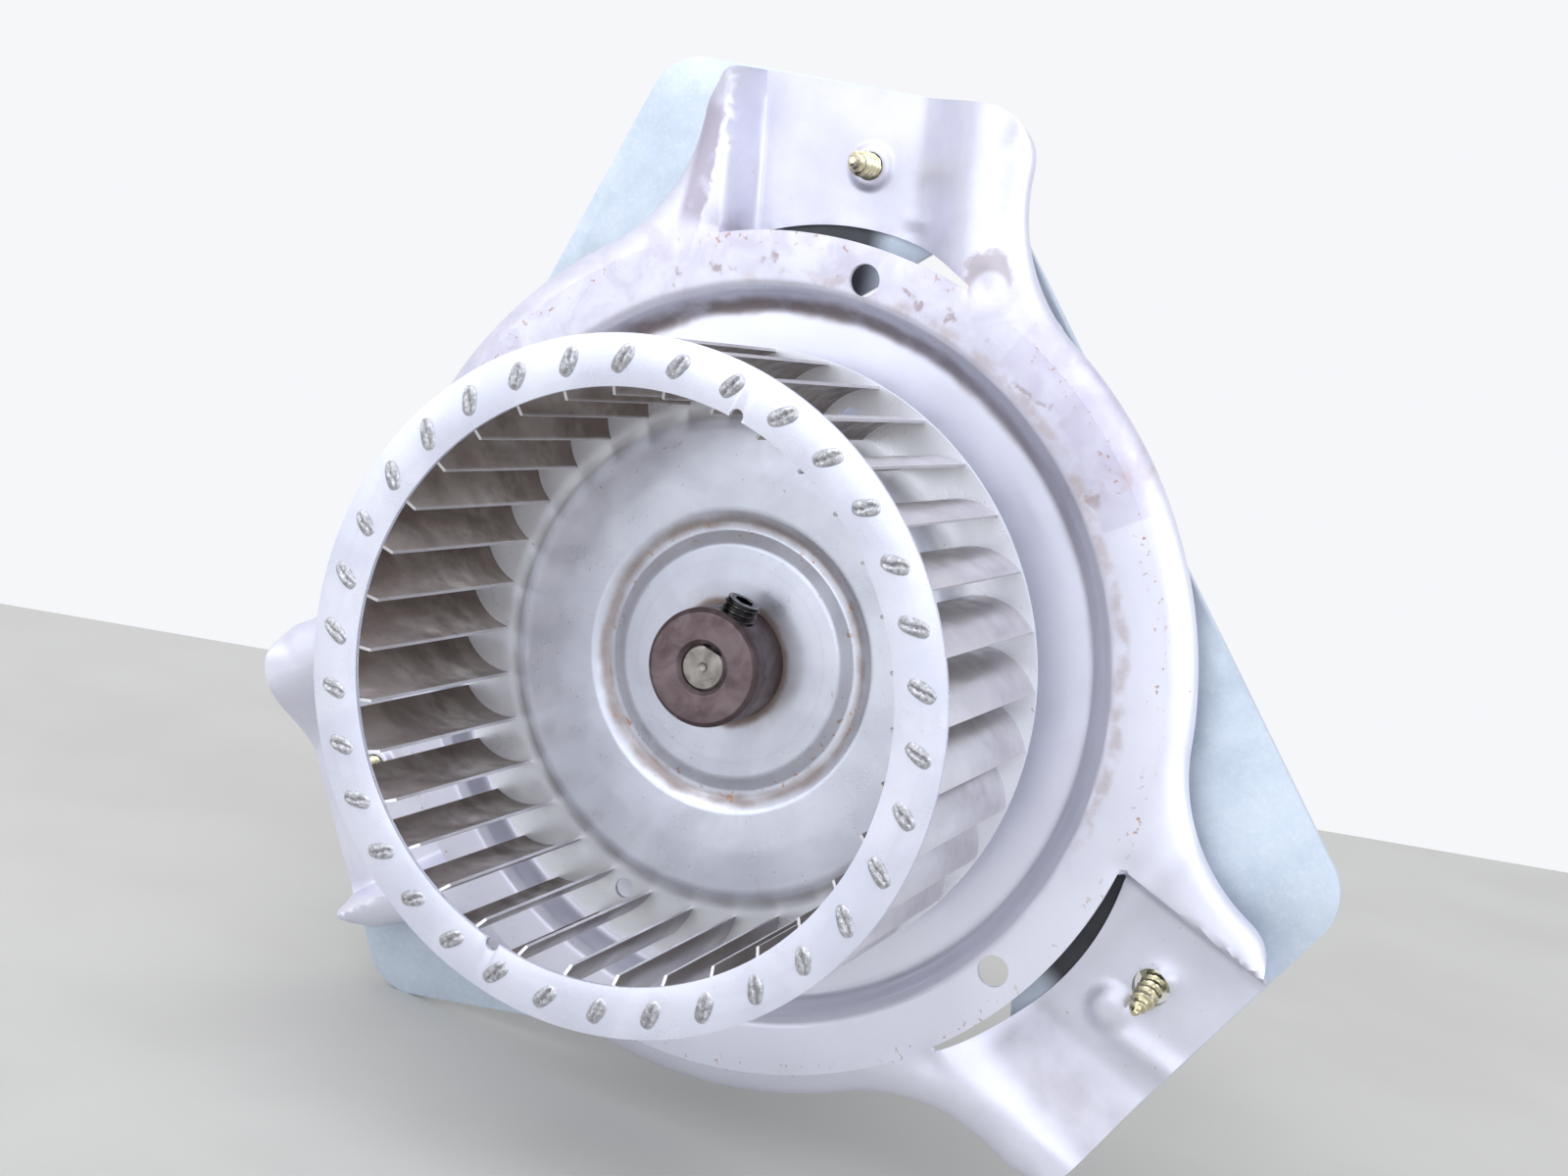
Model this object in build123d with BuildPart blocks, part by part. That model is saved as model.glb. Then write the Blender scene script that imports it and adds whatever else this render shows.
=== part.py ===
from build123d import *

import math
import os

# Combustion fan: a forward-curved wheel on a shaded-pole motor, held by a three-lug front plate.
# Frame, in millimetres: the shaft runs along Y and the wheel faces -Y.  The origin is on the shaft
# axis, in the front face of the front plate, which is the face that is bolted to the burner box.
# One lug points straight up, along +Z.  "Back" means towards +Y.

os.makedirs("parts", exist_ok=True)

# ---------------------------------------------------------------- driving dimensions
SHAFT_R = 3.969                 # 5/16 inch shaft
WHEEL_R = 54.0                  # 4 1/4 inch wheel
WHEEL_WIDTH = 45.65             # front face of the front ring to front face of the back plate
WHEEL_FRONT = -51.4             # front face of the front ring
WHEEL_SHEET = 0.8
RING_INNER_R = 45.9
BLADES = 34
BLADE_SHEET = 0.5
SHEET = 1.0                     # front plate
PLATE_R = 78.3
LUGS = 3
LUG_PITCH = 360 / LUGS
HOLE_TURN = 5.5                 # mounting holes sit this far clockwise of the lug centre lines
HOLE_PCR = 68.3
HOLE_R = 2.75
PANEL_DEPTH = 9.3               # lug panels are pressed back this far
MOTOR_SHEET = 1.5
STATOR_R = 42.0
STACK = 22.0
FIT = 0.03                      # radial clearance of a running fit

BACK_PLATE_Y = WHEEL_FRONT + WHEEL_WIDTH
BLADE_PITCH = 360 / BLADES
MOTOR_PLATE_Y = PANEL_DEPTH + SHEET
SHIELD_Y = MOTOR_PLATE_Y + MOTOR_SHEET
STACK_Y = SHIELD_Y + 18.2
STACK_MID = STACK_Y + STACK / 2
REAR_FACE_Y = 2 * STACK_MID - SHIELD_Y

# Face on view: x to the right, y up, normal towards the wheel.
FACE = Plane(origin=(0, 0, 0), x_dir=(1, 0, 0), z_dir=(0, -1, 0))


def at(y):
    """The face-on plane at the distance y behind the mounting face."""
    return FACE.offset(-y)


def polar(radius, angle):
    """A point in the face-on view; the angle is counter-clockwise from +X."""
    return (radius * math.cos(math.radians(angle)), radius * math.sin(math.radians(angle)))


def save(part, name):
    """Label a finished piece and write it as one STEP file."""
    part.label = name
    export_step(part, f"parts/{name}.step")


# ---------------------------------------------------------------- front plate
LUG_HALF_WIDTH = 30.4
LUG_REACH = 100.2
LUG_CORNER_R = 9.0
LUG_BLEND_R = 31.0
EDGE_DEPTH = 3.6                # depth of the turned-back edge
EDGE_R = 2.6
# A lug's tray, across the lug pointing up: its left wall is steep and its right one is gentle.
TRAY_LEFT = -24.6
TRAY_LEFT_TOP = -22.8
TRAY_LEFT_FOOT = -18.3
TRAY_RIGHT_FOOT = 11.4
TRAY_RIGHT_TOP = 23.4
TRAY_RIGHT = 25.6
TRAY_BENDS = (1.8, 3.0, 4.5, 4.5)
LEFT_WALL_SHIFT = -0.6          # of the rear skin, so that the steep wall keeps its gauge
RIGHT_WALL_SHIFT = 0.3
TRAY_LEAN = -0.145              # the tray's sideways run for each millimetre outwards
TRAY_SQUARE_Z = 77.0            # where the widths above hold
TRAY_START = 64.0
TRAY_END = 120.0
SLIT_R = 74.0                   # ring side of the slit that frees the panel
PANEL_EDGE_R = 47.4
PANEL_EDGE_X = 1.75
PANEL_EDGE_TOP = 76.6           # panel side of the slit, at its highest
DISH_R = 61.0
DISH_SHOULDER_R = 66.0
DISH_DEPTH = 4.6
DISH_BEND_R = 1.6
SHAFT_OPENING_R = 9.0
RIVET_PCR = 14.4
RIVET_R = 1.2
RIVETS = 3

# Lug screws: radius, counter-clockwise turn from the hole's direction, and lean in degrees.
# The screw of the lower right lug was driven in beside its dimple and leans over.
SCREW_SITES = ((87.1, 5.7, 0), (88.9, 10.3, 28), (87.1, 5.7, 0))
SCREW_R = 2.1
SCREW_CREST = 0.25
SCREW_HOLE_R = 2.5
LEANING_HOLE_R = 3.5
COLLAR_R = 3.6
COLLAR_HEIGHT = 1.1
LEAN_HEADING = -104             # the leaning screw's tip points this way in the face-on view

LUG_ANGLES = [90 - LUG_PITCH * k for k in range(LUGS)]
HOLE_ANGLES = [angle - HOLE_TURN for angle in LUG_ANGLES]


def screw_point(k):
    """Where lug screw k crosses the panel, in the face-on view."""
    radius, turn, lean = SCREW_SITES[k]
    return polar(radius, HOLE_ANGLES[k] + turn)


def plate_outline():
    """Round plate with three lugs, blended into the rim."""
    Circle(PLATE_R)
    with PolarLocations(0, LUGS, start_angle=90):
        with Locations((LUG_REACH / 2, 0)):
            Rectangle(LUG_REACH, 2 * LUG_HALF_WIDTH)


def blend_outline(sketch):
    """Round the lug corners, and the corners where the lugs leave the rim."""
    rim_corners = sketch.vertices().filter_by(lambda v: v.center().length < PLATE_R + 1)
    fillet(rim_corners, LUG_BLEND_R)
    tips = sketch.vertices().filter_by(lambda v: v.center().length > LUG_REACH)
    fillet(tips, LUG_CORNER_R)


def dish_line(shift):
    """Corners of one skin of the dish, from the shoulder to the shaft opening."""
    corners = [
        (DISH_SHOULDER_R + 1, 0),
        (DISH_SHOULDER_R - 1.4, 0),
        (DISH_R - 0.6, DISH_DEPTH),
        (SHAFT_OPENING_R, DISH_DEPTH),
    ]
    return [(radius, y + shift) for radius, y in corners]


def tray_line(depth, left_shift, right_shift):
    """Corners of one skin of the tray, from left to right, at the start of the tray."""
    run = TRAY_LEAN * (TRAY_START - TRAY_SQUARE_Z)
    return [
        (TRAY_LEFT + run, depth),
        (TRAY_LEFT_TOP + left_shift + run, depth),
        (TRAY_LEFT_FOOT + left_shift + run, depth + PANEL_DEPTH),
        (TRAY_RIGHT_FOOT + right_shift + run, depth + PANEL_DEPTH),
        (TRAY_RIGHT_TOP + right_shift + run, depth),
        (TRAY_RIGHT + run, depth),
    ]


def tray_side(x, z):
    """A point on the tray's side line x, at the height z, in the face-on view."""
    return (x + TRAY_LEAN * (z - TRAY_SQUARE_Z), z)


# One lug's pressed-back panel with its two walls, for the lug that points up.
with BuildPart() as lug_tray:
    with BuildSketch(Plane.XY.offset(TRAY_START)):
        with BuildLine():
            front_line = FilletPolyline(*tray_line(0, 0, 0), radius=TRAY_BENDS)
            rear_line = FilletPolyline(
                *tray_line(SHEET, LEFT_WALL_SHIFT, RIGHT_WALL_SHIFT), radius=TRAY_BENDS)
            Line(front_line @ 0, rear_line @ 0)
            Line(front_line @ 1, rear_line @ 1)
        make_face()
    extrude(amount=TRAY_END - TRAY_START, dir=(TRAY_LEAN, 0, 1))
    with BuildSketch(at(-1)):
        with Locations((PANEL_EDGE_X, PANEL_EDGE_TOP - PANEL_EDGE_R)):
            Circle(PANEL_EDGE_R)
    extrude(amount=-(PANEL_DEPTH + SHEET + 2), mode=Mode.SUBTRACT)
    with BuildSketch(at(-1)) as tray_trim:
        plate_outline()
        blend_outline(tray_trim)
    extrude(amount=-(PANEL_DEPTH + SHEET + 2), mode=Mode.INTERSECT)

with BuildPart() as front_plate:
    with BuildSketch(FACE) as outline:
        plate_outline()
        blend_outline(outline)
    extrude(amount=-EDGE_DEPTH)
    fillet(front_plate.faces().sort_by(Axis.Y)[0].edges(), EDGE_R)
    with BuildSketch(at(SHEET)) as hollow:
        plate_outline()
        blend_outline(hollow)
        offset(amount=-SHEET, mode=Mode.REPLACE)
    extrude(amount=-(EDGE_DEPTH - SHEET), mode=Mode.SUBTRACT)
    rear_skin = front_plate.faces().filter_by(Axis.Y).sort_by(Axis.Y)[1]
    fillet(rear_skin.outer_wire().edges(), EDGE_R - SHEET)

    # windows that the trays fill
    with BuildSketch(at(-1)):
        with PolarLocations(0, LUGS):
            Polygon(
                tray_side(TRAY_LEFT, TRAY_START), tray_side(TRAY_RIGHT, TRAY_START),
                tray_side(TRAY_RIGHT, TRAY_END), tray_side(TRAY_LEFT, TRAY_END),
                align=None,
            )
        Circle(SLIT_R, mode=Mode.SUBTRACT)
    extrude(amount=-(EDGE_DEPTH + 2), mode=Mode.SUBTRACT)
    for k in range(LUGS):
        add(lug_tray.part.rotate(Axis.Y, LUG_PITCH * k))

    # dish behind the wheel
    with BuildSketch(at(-1)):
        Circle(DISH_SHOULDER_R)
    extrude(amount=-(SHEET + 2), mode=Mode.SUBTRACT)
    with BuildSketch(Plane.XY):
        with BuildLine():
            dish_front = FilletPolyline(*dish_line(0), radius=DISH_BEND_R)
            dish_rear = FilletPolyline(*dish_line(SHEET), radius=DISH_BEND_R)
            Line(dish_front @ 0, dish_rear @ 0)
            Line(dish_front @ 1, dish_rear @ 1)
        make_face()
    revolve(axis=Axis.Y)

    with BuildSketch(at(0)):
        with PolarLocations(RIVET_PCR, RIVETS, start_angle=30):
            Circle(RIVET_R)
    extrude(amount=-(DISH_DEPTH + SHEET), mode=Mode.SUBTRACT)

    # mounting holes, and a drawn collar round each lug screw
    with BuildSketch(at(-1)):
        with Locations(*[polar(HOLE_PCR, angle) for angle in HOLE_ANGLES]):
            Circle(HOLE_R)
    extrude(amount=-(SHEET + 2), mode=Mode.SUBTRACT)
    with BuildSketch(at(PANEL_DEPTH + SHEET / 2)):
        with Locations(screw_point(0), screw_point(2)):
            Circle(COLLAR_R)
    extrude(amount=COLLAR_HEIGHT + SHEET / 2)
    with BuildSketch(at(0)):
        with Locations(screw_point(0), screw_point(2)):
            Circle(SCREW_HOLE_R)
        with Locations(screw_point(1)):
            Circle(LEANING_HOLE_R)
    extrude(amount=-(PANEL_DEPTH + SHEET + 1), mode=Mode.SUBTRACT)
save(front_plate.part, "front_plate")

# ---------------------------------------------------------------- motor plate
SIDE_DISTANCE = 74.25           # axis to each long side of the rounded triangle
SIDE_TURN = 75.65               # long side's normal, counter-clockwise of a mounting hole
END_DISTANCE = 100.4            # axis to each cut-off corner
END_TURN = 5.5
CORNER_R = 10.0
VENT_INNER_R = 56.0
VENT_OUTER_R = 78.0
VENT_FROM = -27.0               # vent edge, counter-clockwise of a mounting hole
VENT_SLANT_START = (56.0, 15.5)  # the vent's other edge slants between these, radius and turn
VENT_SLANT_END = (94.3, -13.5)
VENT_CORNER_R = 4.0
PLATE_BORE_R = 15.0
BOLT_PCR = 38.2
BOLT_R = 2.05
BOLT_HOLE_R = 2.3
BOLT_ANGLES = (45, 135, 225, 315)
GROUND_SITE = polar(66, 160)
GROUND_R = 2.0


def corner_between(distance_a, angle_a, distance_b, angle_b):
    """Where two lines cross, each given by its distance from the axis and its normal's angle."""
    a, b = math.radians(angle_a), math.radians(angle_b)
    scale = math.sin(b - a)
    x = (distance_a * math.sin(b) - distance_b * math.sin(a)) / scale
    y = (distance_b * math.cos(a) - distance_a * math.cos(b)) / scale
    return (x, y)


triangle = []
for hole_angle in HOLE_ANGLES:
    end = (END_DISTANCE, hole_angle + END_TURN)
    ahead = (SIDE_DISTANCE, hole_angle + SIDE_TURN)
    behind = (SIDE_DISTANCE, hole_angle + SIDE_TURN - LUG_PITCH)
    triangle += [corner_between(*ahead, *end), corner_between(*end, *behind)]

with BuildPart() as motor_plate:
    with BuildSketch(at(MOTOR_PLATE_Y)) as blank:
        Polygon(*triangle, align=None)
        fillet(blank.vertices(), CORNER_R)
        Circle(PLATE_BORE_R, mode=Mode.SUBTRACT)
        with PolarLocations(BOLT_PCR, len(BOLT_ANGLES), start_angle=BOLT_ANGLES[0]):
            Circle(BOLT_HOLE_R, mode=Mode.SUBTRACT)
        with Locations(screw_point(0), screw_point(2)):
            Circle(SCREW_HOLE_R, mode=Mode.SUBTRACT)
        with Locations(screw_point(1)):
            Circle(LEANING_HOLE_R, mode=Mode.SUBTRACT)
        with Locations(GROUND_SITE):
            Circle(GROUND_R + 0.05, mode=Mode.SUBTRACT)
    extrude(amount=-MOTOR_SHEET)
    with BuildSketch(at(MOTOR_PLATE_Y)) as vents:
        Circle(VENT_OUTER_R)
        Circle(VENT_INNER_R, mode=Mode.SUBTRACT)
        for hole_angle in HOLE_ANGLES:
            Polygon(
                (0, 0),
                polar(VENT_SLANT_START[0], hole_angle + VENT_SLANT_START[1]),
                polar(VENT_SLANT_END[0], hole_angle + VENT_SLANT_END[1]),
                polar(4 * VENT_OUTER_R, hole_angle + LUG_PITCH / 3),
                polar(2 * VENT_OUTER_R, hole_angle + LUG_PITCH + VENT_FROM),
                align=None,
                mode=Mode.SUBTRACT,
            )
        fillet(vents.vertices(), VENT_CORNER_R)
    extrude(amount=-MOTOR_SHEET, mode=Mode.SUBTRACT)
save(motor_plate.part, "motor_plate")

# ---------------------------------------------------------------- lug screws
WASHER_HEAD_R = 4.5
WASHER_HEAD = 0.8
HEAD_R = 3.6
HEAD = 3.2
HEAD_CHAMFER = 0.8
SCREW_TIP_Y = 0.4
SCREW_CONE = 2.5
THREAD_PITCH = 1.6
DRIVER_SLOT = (1.0, 5.4)
DRIVER_SLOT_DEPTH = 1.2
LEAN_STANDOFF = 2.7             # the leaning screw's head stays this far off the motor plate
LEAN_Y = (PANEL_DEPTH + SHIELD_Y) / 2


def screw_profile(head_y):
    """Half section of a self-tapping screw, with its threads as rings."""
    points = [
        (0, head_y + HEAD), (HEAD_R - HEAD_CHAMFER, head_y + HEAD),
        (HEAD_R, head_y + HEAD - HEAD_CHAMFER), (HEAD_R, head_y + WASHER_HEAD),
        (WASHER_HEAD_R, head_y + WASHER_HEAD), (WASHER_HEAD_R, head_y), (SCREW_R, head_y),
    ]
    y = head_y
    while y - THREAD_PITCH > SCREW_TIP_Y + SCREW_CONE:
        points.append((SCREW_R, y - THREAD_PITCH * 0.55))
        points.append((SCREW_R + SCREW_CREST, y - THREAD_PITCH * 0.75))
        points.append((SCREW_R, y - THREAD_PITCH * 0.95))
        y -= THREAD_PITCH
    points.append((SCREW_R * 0.45, SCREW_TIP_Y + 0.3))
    points.append((0, SCREW_TIP_Y))
    return points


with BuildPart() as straight_screw:
    with BuildSketch(Plane.XY):
        Polygon(*screw_profile(SHIELD_Y), align=None)
    revolve(axis=Axis.Y)
    with BuildSketch(at(SHIELD_Y + HEAD)):
        Rectangle(*DRIVER_SLOT)
    extrude(amount=DRIVER_SLOT_DEPTH, mode=Mode.SUBTRACT)

heading_x, heading_z = polar(1, LEAN_HEADING)
lean_axis = Axis((0, LEAN_Y, 0), (-heading_z, 0, heading_x))
with BuildPart() as lug_screws:
    for k in range(LUGS):
        x, z = screw_point(k)
        lean = SCREW_SITES[k][2]
        body = straight_screw.part
        if lean:
            body = Pos(0, LEAN_STANDOFF, 0) * body
            body = body.rotate(lean_axis, lean)
        add(Pos(x, 0, z) * body)
save(lug_screws.part, "lug_screws")

# ---------------------------------------------------------------- shaft seal
SEAL_Y = DISH_DEPTH + SHEET
CUP_SHEET = 0.6
CUP_FLANGE_R = 17.0
CUP_R = 11.6
CUP_LIP_R = 5.2
CUP_HEIGHT = 3.2
SEAL_WASHER_R = 10.8
SEAL_WASHER = 2.5
SEAL_CLEARANCE = 0.06
RIVET_HEAD_R = 2.1
RIVET_HEAD = 0.7
with BuildPart() as seal_retainer:
    with BuildSketch(Plane.XY):
        Polygon(
            (CUP_LIP_R, SEAL_Y + CUP_HEIGHT), (CUP_LIP_R, SEAL_Y + CUP_HEIGHT - CUP_SHEET),
            (CUP_R - CUP_SHEET, SEAL_Y + CUP_HEIGHT - CUP_SHEET), (CUP_R - CUP_SHEET, SEAL_Y),
            (CUP_FLANGE_R, SEAL_Y), (CUP_FLANGE_R, SEAL_Y + CUP_SHEET),
            (CUP_R, SEAL_Y + CUP_SHEET), (CUP_R, SEAL_Y + CUP_HEIGHT),
            align=None,
        )
    revolve(axis=Axis.Y)
    with BuildSketch(at(SEAL_Y)):
        with PolarLocations(RIVET_PCR, RIVETS, start_angle=30):
            Circle(RIVET_R)
    extrude(amount=-CUP_SHEET, mode=Mode.SUBTRACT)
save(seal_retainer.part, "seal_retainer")

with BuildPart() as seal_washer:
    with BuildSketch(at(SEAL_Y + 0.05)):
        Circle(SEAL_WASHER_R)
        Circle(SHAFT_R + SEAL_CLEARANCE, mode=Mode.SUBTRACT)
    extrude(amount=-SEAL_WASHER)
save(seal_washer.part, "seal_washer")

with BuildPart() as seal_rivets:
    with BuildSketch(at(DISH_DEPTH)):
        with PolarLocations(RIVET_PCR, RIVETS, start_angle=30):
            Circle(RIVET_R)
    extrude(amount=-(SHEET + CUP_SHEET))
    with BuildSketch(at(SEAL_Y + CUP_SHEET)):
        with PolarLocations(RIVET_PCR, RIVETS, start_angle=30):
            Circle(RIVET_HEAD_R)
    extrude(amount=-RIVET_HEAD)
save(seal_rivets.part, "seal_rivets")

# ---------------------------------------------------------------- motor end shields
SKIRT_INNER_R = 39.4
SHIELD_FLOOR = 2.5
BOSS_R = 13.0
BOSS_DEPTH = 13.2
POCKET_R = 11.5
BEARING_R = 7.5
BEARING_HALF = 5.5
BEARING_Y = SHIELD_Y + 6.2
SEAT_OFFSET = 4.2               # bearing centre to the edge it seats on, and to its retainer
SEAT_R = math.sqrt(BEARING_R ** 2 - SEAT_OFFSET ** 2)
LEG_R = 4.3
VENTS = 8
VENT_PCR = 25.0
VENT_SLOT = (12, 6)             # centre distance and width
WINDOWS = 4
WINDOW = (34, 9, 3)             # width, height and corner radius

with BuildPart() as motor_front_shield:
    with BuildSketch(Plane.XY):
        Polygon(
            (SEAT_R + FIT, SHIELD_Y), (STATOR_R, SHIELD_Y), (STATOR_R, STACK_Y),
            (SKIRT_INNER_R, STACK_Y), (SKIRT_INNER_R, SHIELD_Y + SHIELD_FLOOR),
            (BOSS_R, SHIELD_Y + SHIELD_FLOOR), (BOSS_R, SHIELD_Y + BOSS_DEPTH),
            (POCKET_R, SHIELD_Y + BOSS_DEPTH), (POCKET_R, BEARING_Y - SEAT_OFFSET),
            (SEAT_R + FIT, BEARING_Y - SEAT_OFFSET),
            align=None,
        )
    revolve(axis=Axis.Y)
    with BuildSketch(at(SHIELD_Y)):
        with PolarLocations(BOLT_PCR, len(BOLT_ANGLES), start_angle=BOLT_ANGLES[0]):
            Circle(LEG_R)
        Circle(STATOR_R + 5, mode=Mode.INTERSECT)
    extrude(amount=-(STACK_Y - SHIELD_Y))
    with BuildSketch(at(SHIELD_Y)):
        with PolarLocations(BOLT_PCR, len(BOLT_ANGLES), start_angle=BOLT_ANGLES[0]):
            Circle(BOLT_HOLE_R)
    extrude(amount=-(STACK_Y - SHIELD_Y), mode=Mode.SUBTRACT)
    # cooling slots in the floor, and windows in the skirt
    with BuildSketch(at(SHIELD_Y)):
        with PolarLocations(VENT_PCR, VENTS, start_angle=22.5):
            SlotCenterToCenter(*VENT_SLOT)
    extrude(amount=-SHIELD_FLOOR, mode=Mode.SUBTRACT)
    for k in range(WINDOWS):
        with BuildSketch(Plane.XY.rotated((0, k * 360 / WINDOWS, 0)).offset(SKIRT_INNER_R - 4)):
            with Locations((0, (SHIELD_Y + STACK_Y) / 2 + 1)):
                RectangleRounded(*WINDOW)
        extrude(amount=10, mode=Mode.SUBTRACT)
save(motor_front_shield.part, "motor_front_shield")

# The rear shield is the same casting turned round.
middle = Plane(origin=(0, STACK_MID, 0), z_dir=(0, 1, 0))
with BuildPart() as motor_rear_shield:
    add(motor_front_shield.part)
    mirror(about=middle, mode=Mode.REPLACE)
save(motor_rear_shield.part, "motor_rear_shield")

# ---------------------------------------------------------------- bearings
with BuildPart() as front_bearing:
    with BuildSketch(Plane.XY):
        with Locations((0, BEARING_Y)):
            Circle(BEARING_R)
            Rectangle(4 * BEARING_R, 2 * BEARING_HALF, mode=Mode.INTERSECT)
        with Locations((-BEARING_R + SHAFT_R + FIT, BEARING_Y)):
            Rectangle(2 * BEARING_R, 4 * BEARING_R, mode=Mode.SUBTRACT)
    revolve(axis=Axis.Y)
save(front_bearing.part, "front_bearing")

with BuildPart() as rear_bearing:
    add(front_bearing.part)
    mirror(about=middle, mode=Mode.REPLACE)
save(rear_bearing.part, "rear_bearing")

WICK_INNER_R = BEARING_R + 0.1
with BuildPart() as oil_wicks:
    with BuildSketch(at(BEARING_Y - SEAT_OFFSET + 0.4)):
        Circle(POCKET_R - 0.1)
        Circle(WICK_INNER_R, mode=Mode.SUBTRACT)
    extrude(amount=-(2 * SEAT_OFFSET - 0.8))
    mirror(about=middle)
save(oil_wicks.part, "oil_wicks")

with BuildPart() as bearing_retainers:
    with BuildSketch(at(BEARING_Y + SEAT_OFFSET)):
        Circle(POCKET_R - 0.05)
        Circle(SEAT_R + FIT, mode=Mode.SUBTRACT)
        with PolarLocations(POCKET_R, 6):
            Circle(1.2, mode=Mode.SUBTRACT)
    extrude(amount=-0.8)
    mirror(about=middle)
save(bearing_retainers.part, "bearing_retainers")

# ---------------------------------------------------------------- stator
POLES = 4
BORE_R = 22.4
YOKE_INNER_R = 34.6
NECK = 13.0
SHOE_R = 26.4
SHOE_HALF_ANGLE = 37
SHADE_SLOT_X = 9.4
SHADE_SLOT = 1.7
SHADE_SLOT_DEPTH = 4.4

with BuildPart() as stator_core:
    with BuildSketch(at(STACK_Y)):
        Circle(STATOR_R)
        Circle(YOKE_INNER_R, mode=Mode.SUBTRACT)
        with PolarLocations(BORE_R + 7, POLES):
            Rectangle(14, NECK)
    extrude(amount=-STACK)
    with BuildSketch(at(STACK_Y)) as shoes:
        Circle(SHOE_R)
        with PolarLocations(0, POLES, start_angle=45):
            with Locations((SHOE_R, 0)):
                gap = 2 * SHOE_R * math.sin(math.radians(45 - SHOE_HALF_ANGLE))
                Rectangle(16, gap, mode=Mode.SUBTRACT)
    extrude(amount=-STACK)
    with BuildSketch(at(STACK_Y)):
        Circle(BORE_R)
        with PolarLocations(0, POLES):
            with Locations((BORE_R + 1.6, SHADE_SLOT_X)):
                Rectangle(SHADE_SLOT_DEPTH, SHADE_SLOT)
        with PolarLocations(BOLT_PCR, len(BOLT_ANGLES), start_angle=BOLT_ANGLES[0]):
            Circle(BOLT_HOLE_R)
    extrude(amount=-STACK, mode=Mode.SUBTRACT)
save(stator_core.part, "stator_core")

# ---------------------------------------------------------------- windings
COIL_INNER_Z = 26.7             # radial position of the bobbins' inner flanges
BOBBIN_HEIGHT = 5.6
FLANGE = 0.8
BOBBIN_WALL = 0.8
COIL_SPAN = 22.0                # across the pole
COIL_OVERHANG = 6.5             # beyond the stack, each end
COIL_CORNER_R = 2.5
COIL_SLACK = 1.0
POLE_TURNS = [90 * k for k in range(POLES)]

with BuildPart() as one_bobbin:
    core_x = NECK + 0.2
    core_y = STACK + 0.2
    flange_y = STACK + 2 * COIL_OVERHANG
    for z in (COIL_INNER_Z, COIL_INNER_Z + BOBBIN_HEIGHT - FLANGE):
        with BuildSketch(Plane.XY.offset(z)):
            with Locations((0, STACK_MID)):
                RectangleRounded(COIL_SPAN, flange_y, COIL_CORNER_R)
        extrude(amount=FLANGE)
    with BuildSketch(Plane.XY.offset(COIL_INNER_Z)):
        with Locations((0, STACK_MID)):
            Rectangle(core_x + 2 * BOBBIN_WALL, core_y + 2 * BOBBIN_WALL)
    extrude(amount=BOBBIN_HEIGHT)
    with BuildSketch(Plane.XY.offset(COIL_INNER_Z)):
        with Locations((0, STACK_MID)):
            Rectangle(core_x, core_y)
    extrude(amount=BOBBIN_HEIGHT, mode=Mode.SUBTRACT)

with BuildPart() as coil_bobbins:
    for turn in POLE_TURNS:
        add(one_bobbin.part.rotate(Axis.Y, turn))
save(coil_bobbins.part, "coil_bobbins")

with BuildPart() as one_coil:
    with BuildSketch(Plane.XY.offset(COIL_INNER_Z + FLANGE)):
        with Locations((0, STACK_MID)):
            RectangleRounded(COIL_SPAN - COIL_SLACK, flange_y - COIL_SLACK, COIL_CORNER_R)
            Rectangle(core_x + 2 * BOBBIN_WALL, core_y + 2 * BOBBIN_WALL, mode=Mode.SUBTRACT)
    extrude(amount=BOBBIN_HEIGHT - 2 * FLANGE)

with BuildPart() as stator_coils:
    for turn in POLE_TURNS:
        add(one_coil.part.rotate(Axis.Y, turn))
save(stator_coils.part, "stator_coils")

# A closed copper loop round one tip of each pole shoe.
LOOP_OUTER_X = 16.4
LOOP_INNER_X = SHADE_SLOT_X - SHADE_SLOT / 2 + 0.05
LOOP_WIRE = 1.5
LOOP_DEPTH = 2.2
with BuildPart() as one_loop:
    loop_width = LOOP_OUTER_X - LOOP_INNER_X
    with BuildSketch(Plane.XY.offset(BORE_R + 0.4)):
        with Locations((-(LOOP_OUTER_X + LOOP_INNER_X) / 2, STACK_MID)):
            Rectangle(loop_width, STACK + 2 * LOOP_WIRE + 0.2)
            Rectangle(loop_width - 2 * LOOP_WIRE, STACK + 0.2, mode=Mode.SUBTRACT)
    extrude(amount=LOOP_DEPTH)

with BuildPart() as shading_rings:
    for turn in POLE_TURNS:
        add(one_loop.part.rotate(Axis.Y, turn))
save(shading_rings.part, "shading_rings")

# A thermal cut-out strapped to the outside of the top coil's rear end.
PROTECTOR = (14, 6, 1.5)        # length, width and corner radius
PROTECTOR_HEIGHT = 3.6
with BuildPart() as thermal_protector:
    with BuildSketch(Plane.XY.offset(COIL_INNER_Z + BOBBIN_HEIGHT + 0.05)):
        with Locations((0, STACK_Y + STACK + 5)):
            RectangleRounded(*PROTECTOR)
    extrude(amount=PROTECTOR_HEIGHT)
    fillet(thermal_protector.edges().filter_by(Axis.Z, reverse=True), 0.6)
save(thermal_protector.part, "thermal_protector")

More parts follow.
